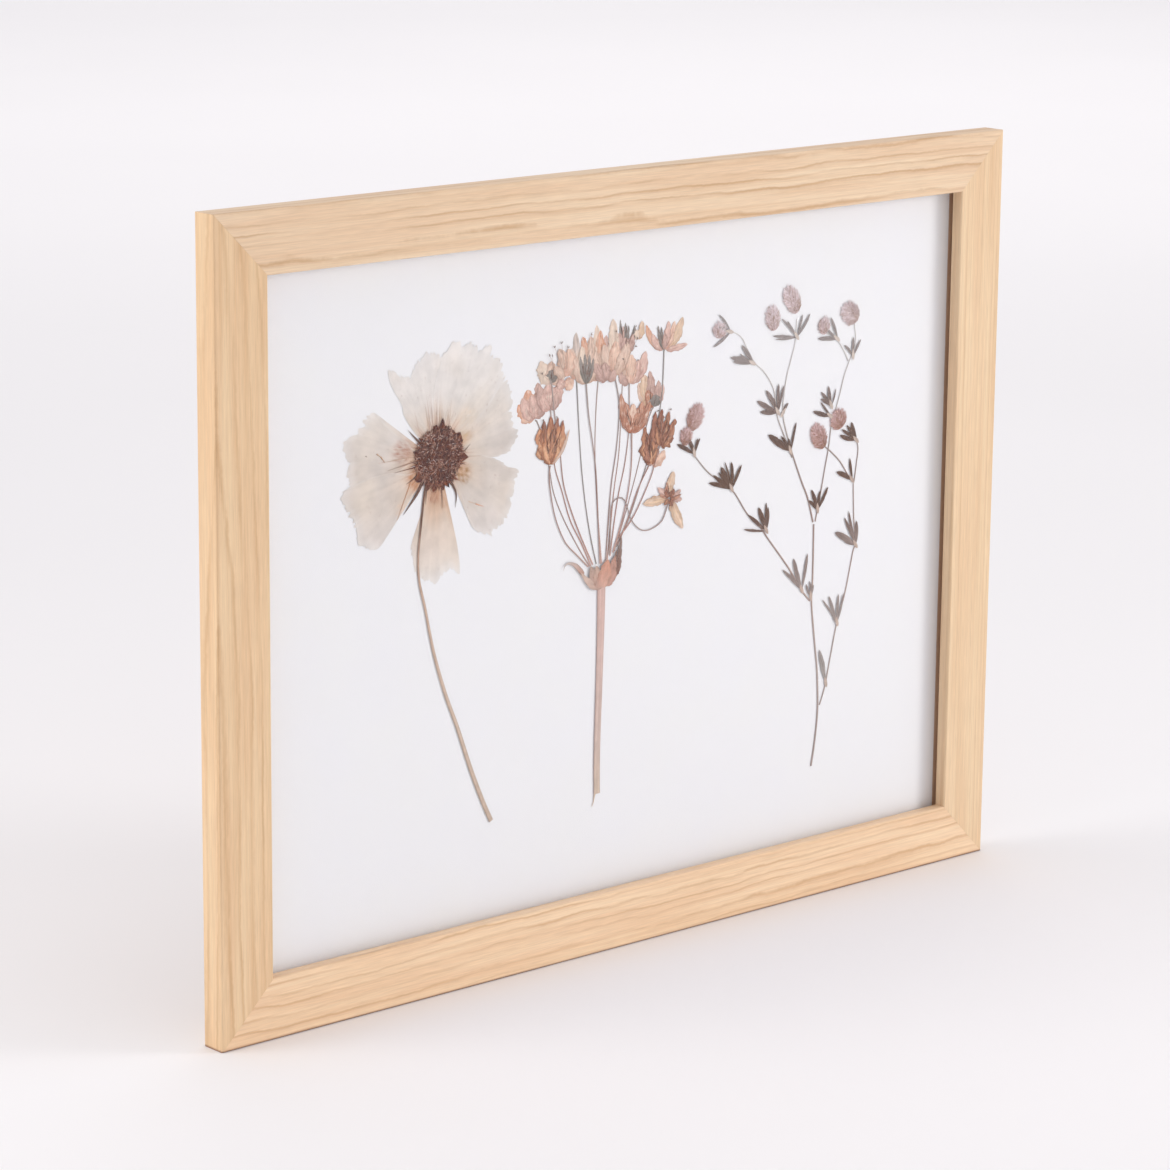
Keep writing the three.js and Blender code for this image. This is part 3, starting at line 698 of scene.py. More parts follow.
# Each petal's layer and its edge, from one side of its foot round the tip to the other side.
PETAL_EDGES = {
    "petal_upper_left": (1, [(-105, 228), (-109.9, 231.6), (-116.1, 239.8), (-118.4, 246.2),
        (-122.3, 252.1), (-124.6, 258.5), (-122.3, 259.5), (-118.4, 256.6), (-113.7, 256),
        (-109.9, 261.1), (-103.6, 264.1), (-97.4, 262.2), (-92.6, 258), (-91, 250.4),
        (-92.6, 241.9), (-95.7, 232)]),
    "petal_top": (2, [(-102.2, 228), (-103.6, 234.5), (-102, 243), (-100.5, 252.7), (-97.3, 261),
        (-94.2, 264.9), (-89.5, 267.5), (-84.7, 265.4), (-79.2, 265.1), (-76.8, 262.4),
        (-74.4, 264.3), (-72, 263.1), (-71.1, 259.6), (-67.1, 257.6), (-66.3, 254.4),
        (-66.3, 248.8), (-71, 241.8), (-78.2, 235.2), (-87.8, 230.1), (-93.5, 226)]),
    "petal_right": (1, [(-95.5, 228), (-86.2, 236.2), (-77.5, 243.8), (-66.3, 250), (-63, 246.5),
        (-60.5, 240.6), (-61.3, 234.4), (-58.8, 225.3), (-60.4, 221.1), (-65.3, 218.5),
        (-74.9, 218.5), (-87.8, 220.1), (-92.8, 220.8)]),
    "petal_lower_right": (2, [(-92.5, 221), (-89.3, 220.3), (-77.4, 220.1), (-66.9, 216.2),
        (-62.8, 213.2), (-57.1, 211.2), (-58.7, 205.1), (-62.7, 194.8), (-66.7, 189.6),
        (-72.4, 186.9), (-78, 188), (-82.1, 191.8), (-84.5, 199.7), (-87.7, 206.4), (-91.7, 210.6),
        (-95.2, 216.5)]),
    "petal_bottom": (0, [(-96.8, 216.5), (-96.3, 208), (-94.3, 202.3), (-91.3, 192.4),
        (-89.3, 185.1), (-87.7, 173.4), (-92.2, 174.9), (-96.2, 174.3), (-100.2, 170.1),
        (-105.1, 172), (-108.1, 173.6), (-111.1, 178), (-113, 185.3), (-112, 190.6),
        (-109.1, 196.5), (-105.2, 209.2), (-101.5, 216.5)]),
    "petal_lower_left": (2, [(-103.3, 217), (-109.9, 210.5), (-115.3, 206.3), (-120.8, 200.2),
        (-125.5, 194), (-129.4, 189), (-136.3, 190), (-140.1, 193.6), (-141.6, 199.4),
        (-145.4, 206), (-148.4, 212.1), (-143.9, 215.4), (-133.9, 217.7), (-124.5, 218.3),
        (-114.5, 216.5), (-105.5, 218.6)]),
    "petal_left": (0, [(-105, 221.2), (-112.2, 221.2), (-117, 219.8), (-123.5, 217),
        (-133.9, 214.6), (-142.6, 214), (-144.8, 219.4), (-144.6, 226.1), (-146.5, 230.6),
        (-145.3, 234.1), (-138.4, 237.6), (-135.4, 241.5), (-132.3, 244.1), (-129.2, 241.3),
        (-123.1, 235.1), (-116.1, 230.5), (-111.4, 225.6), (-104.8, 224)]),
}

# How orange a petal's foot is, how far up the orange reaches and how far the streaks, in mm.
PETAL_FLUSH = {
    "petal_upper_left": (0.35, 14, 8), "petal_top": (0.4, 15, 9), "petal_right": (0.55, 17, 9),
    "petal_lower_right": (0.6, 16, 8), "petal_bottom": (0.95, 46, 11),
    "petal_lower_left": (0.7, 20, 11), "petal_left": (0.6, 18, 12),
}
# The petals' flesh by height; the upper tones are partly the petals' own colour and partly painted
# reflection of the pane.
PETAL_FLESH = [
    (172, "E7E3E2"), (186, "DCD3CF"), (206, "D3C8C1"), (226, "D4CAC4"), (246, "E0D9D5"),
    (264, "E9E3E1"),
]
# Stains on the petals: place, radius, colour and strength.
STAINS = [
    ((-86.3, 213.3), 5.0, "A67F5A", 0.85), ((-117.5, 226), 6, "B08070", 0.75), ((-85.6, 228),
    4.5, "CBAE88", 0.6), ((-101, 206), 4, "A87460", 0.7), ((-96.2, 203), 3, "B98A70", 0.6),
    ((-110, 214), 6, "B87B54", 0.9), ((-112, 220.5), 3.5, "B07E62", 0.5), ((-84, 236),
    6, "DCC9B4", 0.5), ((-117.5, 203), 4, "DDBFA8", 0.6),
]


def petal_tint(flush, distance, u, v, spot, number):
    """Colour of a petal: orange foot, streaks out of the boss, cream flesh, stains, pale rim."""
    orange, reach, streak_reach = flush
    cloud = wander(spot.x * 0.07, number * 7.0, spot.y * 0.07)
    flesh = blended(tone_at(PETAL_FLESH, spot.y), behind_pane("E2D4C6"), 0.1 + 0.5 * cloud)
    ragged = distance + 6 * wander(u * 9, number * 3.1, 0)
    foot = blended(flesh, behind_pane("DCC4B0"), orange * max(0.0, 1 - (ragged - 10) / reach))
    deep = max(0.0, 1 - (ragged - 11) / (reach * 0.4))
    foot = blended(foot, behind_pane("C4936F"), orange * deep * 0.75)
    streak = wander(u * 60, v * 1.2, number * 3.7)
    fade = max(0.0, 1 - (distance - 11) / streak_reach)
    foot = blended(foot, behind_pane("A9745F"), min(0.45, max(0.0, streak * 2.2 - 0.3)) * fade)
    for place, radius, colour, strength in STAINS:
        near = 1 - (spot - Vector(place)).length / radius
        if near > 0:
            blot = 0.6 + wander(spot.x * 0.8, number, spot.y * 0.8)
            foot = blended(foot, behind_pane(colour), strength * min(1.0, near * 2) * blot)
    rim = max(0.0, v - 0.9) / 0.1
    return blended(foot, behind_pane("E6E2E1"), 0.45 * rim)


def open_petal(name, number):
    """A petal as a fan of radial lines from the flower's centre to its ragged edge."""
    layer, edge = PETAL_EDGES[name]
    feet = [Vector(point) - FLOWER_CENTRE for point in (edge[0], edge[-1])]
    if feet[0].cross(feet[1]) > 0:
        edge = edge[::-1]
        feet = feet[::-1]
    rim = evenly(smooth_line(edge, 8), PETAL_COLUMNS)
    turns = [math.atan2(foot.y, foot.x) for foot in feet]
    if turns[0] < turns[1]:
        turns[0] += math.tau
    depth = layer_middle(0) - PETAL_PITCH * layer

    def point(u, v):
        here = rim[round(u * PETAL_COLUMNS)]
        out = here - FLOWER_CENTRE
        far = min(1.0, max(0.0, (out.length - 20) / 12))
        jag = 1.4 * wander(here.x * 0.3, here.y * 0.3, number)
        jag += 1.8 * wander(here.x * 0.7, here.y * 0.7, number + 5)
        jag += 0.8 * wander(here.x * 1.9, here.y * 1.9, number + 9)
        here = here + out.normalized() * (jag * far)
        turn = turns[0] + (turns[1] - turns[0]) * u
        foot = FLOWER_CENTRE + PETAL_FOOT * Vector((math.cos(turn), math.sin(turn)))
        return foot.lerp(here, v)

    def place(u, v):
        spot = point(u, v)
        wave = 0.03 * wander(spot.x * 0.12, 0, spot.y * 0.12)
        return spot.x, depth + wave, spot.y

    def tint(u, v):
        spot = point(u, v)
        return petal_tint(PETAL_FLUSH[name], (spot - FLOWER_CENTRE).length, u, v, spot, number)

    return shaped("grid", PETAL_COLUMNS, PETAL_ROWS, place, tint)


class FLOWERFRAME_OT_petals(BuildStep, bpy.types.Operator):
    """Lay the seven papery petals of the open flower over one another"""

    bl_idname = "flower_frame.petals"
    bl_label = "Open flower petals"

    def execute(self, context):
        paper = pressed_tissue("pressed_cream_petal", 26, 0.05, 6, 0.25)
        for number, name in enumerate(PETAL_EDGES):
            add_piece("cream_" + name, paper, sheets=[open_petal(name, number)],
                      nodes=[name])
        return {"FINISHED"}


class FLOWERFRAME_OT_boss(BuildStep, bpy.types.Operator):
    """Press the dark boss of stamens with its ragged fringe and the long threads round it"""

    bl_idname = "flower_frame.boss"
    bl_label = "Stamen boss"

    def execute(self, context):
        draw = random.Random(5)
        dark, middle = behind_pane("573528"), behind_pane("85523F")
        specks = [behind_pane(tone) for tone in
                  ("50302A", "6C4437", "8E5C4C", "B2826F", "D2AB9B", "E8D0C6")]
        tufts = [behind_pane(tone) for tone in ("683C2C", "8A523C", "AC7156", "C8947A", "DFB9A1")]

        def stamen(turn, out, aim, depth, reach, width, shade):
            foot = (FLOWER_CENTRE.x + out * math.cos(turn), FLOWER_CENTRE.y + out * math.sin(turn))
            return strand(foot, depth, (math.cos(aim), math.sin(aim)), reach, width, shade,
                          lean=draw.uniform(-0.02, 0.02))

        def clump(turn, scale):
            return wander(math.cos(turn) * scale, math.sin(turn) * scale, 4)

        def core_tint(x, z):
            return blended(dark, middle, 0.5 + 1.4 * wander(x * 7, 0, z * 7))

        core = lumpy_disc(FLOWER_CENTRE, BOSS_RADIUS - 2.6, BOSS_RADIUS - 2.2, BOSS_DEPTH,
                          CORE_HALF_DEPTH, 0, core_tint, segments=48, rings=24, lump=0.8)
        copies = []
        for _ in range(context.scene.flower_finish.boss_stamens):
            turn = draw.uniform(0, math.tau)
            out = (BOSS_RADIUS - 0.7 + 2.4 * clump(turn, 2.2)) * math.sqrt(draw.random())
            patch = wander(out * math.cos(turn) * 0.13, out * math.sin(turn) * 0.13, 3)
            patch += 0.2 * math.cos(turn - 2.4) * out / BOSS_RADIUS + draw.gauss(0, 0.12)
            mixture = (6, 6, 4, 1.5, 0.7, 0.3) if patch > 0.03 else (3, 4, 5, 4, 3, 2)
            shade = specks[draw.choices(range(6), mixture)[0]]
            copies.append(stamen(turn, out, draw.uniform(0, math.tau),
                                 BOSS_DEPTH - draw.uniform(0.12, 0.24),
                                 draw.uniform(0.6, 2.2), draw.uniform(0.16, 0.42), shade))
        # the fringe stands in uneven tufts, tangled and bent aside
        for _ in range(760):
            turn = draw.uniform(0, math.tau)
            tuft = clump(turn, 3) + 0.35 * clump(turn, 9)
            if draw.random() > 0.5 + 1.2 * tuft:
                continue
            # the tufts at the top are shorter
            gain = 2 if 0.9 < turn < 2.3 else 4.5
            reach = draw.uniform(1.4, 3.2) + gain * max(0.0, tuft) * draw.random()
            copies.append(stamen(turn, BOSS_RADIUS - draw.uniform(0.8, 3.2),
                                 turn + draw.gauss(0, 0.75),
                                 BOSS_DEPTH - draw.uniform(-0.08, 0.15), reach,
                                 draw.uniform(0.14, 0.34),
                                 tufts[draw.choices(range(5), (3, 4, 3, 2, 1))[0]]))
        # long fine threads stand out over the petals, most of them straight up
        for number in range(56):
            upward = number % 3 != 0
            turn = draw.gauss(1.62, 0.42) if upward else draw.uniform(2.7, 6.8)
            aim = turn + (draw.gauss(0.72 * (1.62 - turn), 0.04) if upward else draw.gauss(0, 0.12))
            reach = draw.uniform(4, 17) if upward else draw.uniform(3, 9.5)
            shade = behind_pane(draw.choice(["E0C2B0", "E4CAB2", "D8B6AC", "E8D3C4"]))
            copies.append(stamen(turn, BOSS_RADIUS - 1.8, aim, BOSS_DEPTH + 0.14, reach,
                                 draw.uniform(0.08, 0.15), shade))
        dusted = pressed_tissue("pollen_dusted_stamens", 4, 0.1, 1.5, 0.3)
        add_piece("stamen_boss", dusted, tubes=[core, scattered(copies)],
                  nodes=["flower_boss"])
        return {"FINISHED"}


# Dark pointed sepals that show between the petals: route and width.
SEPALS = [
    ([(-106, 215), (-110.5, 208), (-117.2, 200.6)], 1.6),
    ([(-95, 213), (-91.4, 209), (-89.8, 205), (-90.4, 200.2)], 1.2),
    ([(-108, 228), (-111, 231), (-114.6, 234.6)], 0.9),
    ([(-90, 222), (-86, 222.6), (-82.6, 225.2)], 0.7),
    ([(-104.5, 213), (-105.3, 208), (-105.6, 203.5)], 0.6),
    ([(-97.8, 212), (-97.2, 206), (-97.2, 201)], 0.5),
    ([(-108.5, 217), (-112, 214.6), (-115.5, 213)], 0.8),
]
# Torn threads and thin dry edges on the petals: both ends, width and colour.
DRY_MARKS = [
    ((-113.4, 213.4), (-120.2, 199), 0.5, "D8A686"), ((-130.4, 227), (-128.4, 225.6),
    0.5, "D5B094"), ((-128.4, 225.6), (-126.4, 223), 0.6, "CBA488"), ((-83.4, 201.7), (-79.1, 200),
    0.3, "E0C2AE"), ((-79.6, 200.2), (-75.5, 198.6), 0.6, "E3B29B"), ((-86.9, 220.4),
    (-76.4, 219.6), 0.3, "CBB0A2"), ((-110, 221.6), (-125, 219.6), 0.4, "A88C80"), ((-108, 219.4),
    (-121.6, 218.3), 0.5, "7C5C52"), ((-110, 223.6), (-129.8, 223.1), 0.3, "CFB09C"),
    ((-135.9, 226.9), (-135.5, 226.4), 0.5, "8E7468"),
]


class FLOWERFRAME_OT_sepals(BuildStep, bpy.types.Operator):
    """Tuck the dark pointed sepals behind the boss and lay the torn threads over the petals"""

    bl_idname = "flower_frame.sepals"
    bl_label = "Sepals"

    def execute(self, context):
        dark, tip_grey = behind_pane("6A4C42"), behind_pane("7E6C64")
        sheets = [lance(route, width, BOSS_DEPTH + 0.12 + 0.01 * number,
                        lambda u, v: blended(dark, tip_grey, v), blunt=0.45, seed=number)
                  for number, (route, width) in enumerate(SEPALS)]
        threads = []
        for start, end, width, colour in DRY_MARKS:
            away = Vector(end) - Vector(start)
            threads.append(strand(start, DRY_MARK_DEPTH, away, away.length, width,
                                  behind_pane(colour)))
        add_piece("dark_sepals", pressed_tissue("pressed_sepal", 5, 0.15, 2, 0.1),
                  sheets=sheets, tubes=[scattered(threads)])
        return {"FINISHED"}


FLOWER_STEM = [
    (-104.8, 214), (-106.4, 208), (-108, 196), (-109.5, 183), (-109, 172.5), (-106, 161),
    (-101.5, 142), (-95.5, 124), (-89, 108.5), (-82, 90), (-75.5, 75), (-71, 66),
]
STEM_TONES = [
    (66, "C8B2A3"), (110, "CFB9AA"), (160, "CBB0A1"), (184, "B89A8B"), (197, "6B524A"),
    (206, "76584E"),
]


class FLOWERFRAME_OT_flower_stem(BuildStep, bpy.types.Operator):
    """Lay the bare stem of the open flower"""

    bl_idname = "flower_frame.flower_stem"
    bl_label = "Open flower stem"

    def execute(self, context):
        edge_tone = behind_pane("94826F")

        def tint(u, v, height):
            side = abs(math.cos(u * math.tau)) ** 3
            return blended(tone_at(STEM_TONES, height), edge_tone, 0.55 * side)

        stem = stalk(FLOWER_STEM, [1.0, 1.0, 1.2, 1.6, 1.9, 2.1], FLOWER_STEM_DEPTH, 0.2, tint,
                     sides=14, step=2, ribs=0.05)
        fibrous = pressed_tissue("pressed_dry_stem", 9, 0.12, 3, 0.1)
        add_piece("dry_flower_stem", fibrous, tubes=[stem], nodes=["flower_stem"])
        return {"FINISHED"}


# ---------------------------------------------------------------- middle specimen: umbel

UMBEL_STEM_DEPTH = CARD_FRONT - 0.36
UMBEL_THREAD_DEPTH = CARD_FRONT - 0.3
BRACT_DEPTH = CARD_FRONT - 0.7
BRACT_PITCH = 0.035
CURL_DEPTH = CARD_FRONT - 0.66
UMBEL_STEM = [
    (-11.6, 156.5), (-11.7, 144), (-12, 128.5), (-12.4, 112.5), (-12.9, 96.5), (-13.2, 80.5),
    (-13, 67),
]
UMBEL_THREAD = [(-13.8, 68), (-14.6, 65), (-14.9, 62.6), (-15.6, 61.8)]
UMBEL_TONES = [(66, "D0BDAC"), (90, "D1BCB3"), (125, "D4BAB3"), (156, "D9B8B0")]

# Bracts under the umbel, the hindmost first: route, width, tones of foot and tip.
BRACTS = [
    ([(-8, 156.4), (-3.8, 160.6), (-1.9, 166.6), (-1, 176.4)], 2.7, "A8847A", "94807A"),
    ([(-6.6, 158.4), (-2.8, 163), (-2.4, 173)], 2.2, "93695C", "8C746C"),
    ([(-7.6, 160), (-5, 165), (-3.6, 170.6)], 2.4, "A67F72", "93756A"),
    ([(-13, 156.4), (-15.8, 160.2), (-18, 165.6)], 5.6, "C09C90", "BEA397"),
    ([(-11.5, 156), (-17.5, 157.8), (-23.4, 163.6)], 3.4, "CBA89C", "D6BDB0"),
    ([(-11.8, 156), (-13.8, 160.2), (-14.8, 165.4)], 6.0, "CDA699", "C8AA9C"),
    ([(-9.4, 156), (-6.6, 161), (-4.6, 168.2)], 5.8, "C8A197", "BE9486"),
    ([(-10.9, 155.6), (-10.2, 160.6), (-8.6, 167.4)], 8.0, "D2A99B", "D09C88"),
]
LONG_BRACT = [
    (-21.6, 162.4), (-25, 166.1), (-27.5, 167.8), (-30.3, 168.5), (-32, 167.7), (-32.9, 165.7),
]


def bract_tint(low, high, seed):
    """Colours of one bract: from foot to tip, darker in patches and along both edges."""
    low, high = behind_pane(low), behind_pane(high)

    def tint(u, v):
        colour = blended(low, high, v * 1.3)
        shadow = tuple(c * 0.6 for c in colour)
        patch = 0.7 * max(0.0, wander(u * 3 + seed, v * 4, seed))
        return blended(colour, shadow, patch + 0.5 * abs(2 * u - 1) ** 5)

    return tint


class FLOWERFRAME_OT_umbel_stem(BuildStep, bpy.types.Operator):
    """Lay the stout stem of the umbel with the bracts at its top"""

    bl_idname = "flower_frame.umbel_stem"
    bl_label = "Umbel stem and bracts"

    def execute(self, context):
        edge_tone = behind_pane("B99990")

        def tint(u, v, height):
            side = abs(math.cos(u * math.tau)) ** 4
            rib = 0.25 * max(0.0, math.sin(u * math.tau * 4 + 1))
            return blended(tone_at(UMBEL_TONES, height), edge_tone, 0.6 * side + rib)

        stem = stalk(UMBEL_STEM, [4.4, 3.7, 3.4, 3.3], UMBEL_STEM_DEPTH, 0.15, tint, sides=20,
                     step=2, ribs=0.04)
        thread = stalk(UMBEL_THREAD, [1.2, 0.5, 0.3], UMBEL_THREAD_DEPTH, 0.3, tint)
        fibrous = pressed_tissue("pressed_pink_stem", 12, 0.12, 4, 0.15)
        add_piece("pink_umbel_stem", fibrous, tubes=[stem, thread],
                  nodes=["umbel_stem"])

        tissue = pressed_tissue("pressed_orange_bract", 9, 0.16, 2.5, 0.5)
        sheets = []
        for number, (route, width, low, high) in enumerate(BRACTS):
            # the three hindmost are ragged
            sheets.append(lance(route, width, BRACT_DEPTH - BRACT_PITCH * number,
                                bract_tint(low, high, number), blunt=0.62, fullness=0.7, rows=24,
                                columns=10, cup=0.01, ragged=0.9 if number < 3 else 0.25,
                                seed=number))
        add_piece("orange_bracts", tissue, sheets=sheets, nodes=["bract_cup"])

        curl = lance(LONG_BRACT, 2.2, CURL_DEPTH, bract_tint("C49A8B", "CDBEB8", 9), blunt=0.42,
                     fullness=0.9, rows=24)
        add_piece("curled_bract", tissue, sheets=[curl], nodes=["bract_long"])
        return {"FINISHED"}


# Tones of blossom tissue: foot, flesh, tip and rim.
TONES = {
    "cream": ("D0B2A4", "E8D5C6", "EAD7C8", "D0B8A8"),
    "tan": ("C4A697", "DEC2B2", "E3CABC", "BC9A8A"),
    "flesh": ("D3A898", "E6C6B4", "E9CBB9", "C99A88"),
    "orange": ("C6A696", "DEBDAC", "E1A88D", "C9967F"),
    "pink": ("BF9A90", "DDBBB1", "E2C1B7", "B99187"),
    "rose": ("AE9087", "CFAFA6", "D5B6AC", "AA8981"),
    "grey": ("BFB2AC", "D8C8C0", "D4C5BE", "B5A69F"),
    "seed": ("817A75", "948C87", "A69D99", "7E7772"),
    "gold": ("BF9880", "DFC2A8", "E6CDB8", "C4A088"),
    "pod": ("AA7258", "E6B695", "CA9072", "965F49"),
    "dark": ("80574D", "B2806D", "9C6B5C", "6E4C43"),
    "burnt": ("8A5C4B", "CA967A", "AA7560", "745046"),
    "cup": ("A0644F", "C6937D", "CC9C88", "946050"),
}


# Tones of ripe tissue, which is crumpled, and the colour of its painted highlights.
RIPE = {"pod": "E2B898", "dark": "C89A84", "burnt": "DDAA88"}
DULL = ("seed", "rose")


def blossom_tint(tone, seed):
    """Colours of one petal of a blossom, as a function of (u, v)."""
    foot, flesh, tip, rim = (behind_pane(colour) for colour in TONES[tone])

    def tint(u, v):
        if v < 0.35:
            colour = blended(foot, flesh, v / 0.35)
        else:
            colour = blended(flesh, tip, (v - 0.35) / 0.65)
        patch = wander(u * 3 + seed, v * 4, seed)
        # painted shade: the tissue darkens along its folds
        fold_shade = wander(u * 9 + seed, v * 1.6, seed + 4)
        colour = blended(colour, rim, max(0.0, patch) * 0.8 + max(0.0, fold_shade) * 1.2)
        # painted highlights on the crinkles of the tissue
        glint = max(0.0, wander(u * 4 + seed, v * 7, seed + 8) - 0.05)
        pale = behind_pane(RIPE.get(tone, "ECD6C8"))
        colour = blended(colour, pale, glint * (0.0 if tone in DULL else 1.3))
        return blended(colour, rim, abs(2 * u - 1) ** 4 * 0.8)

    return tint


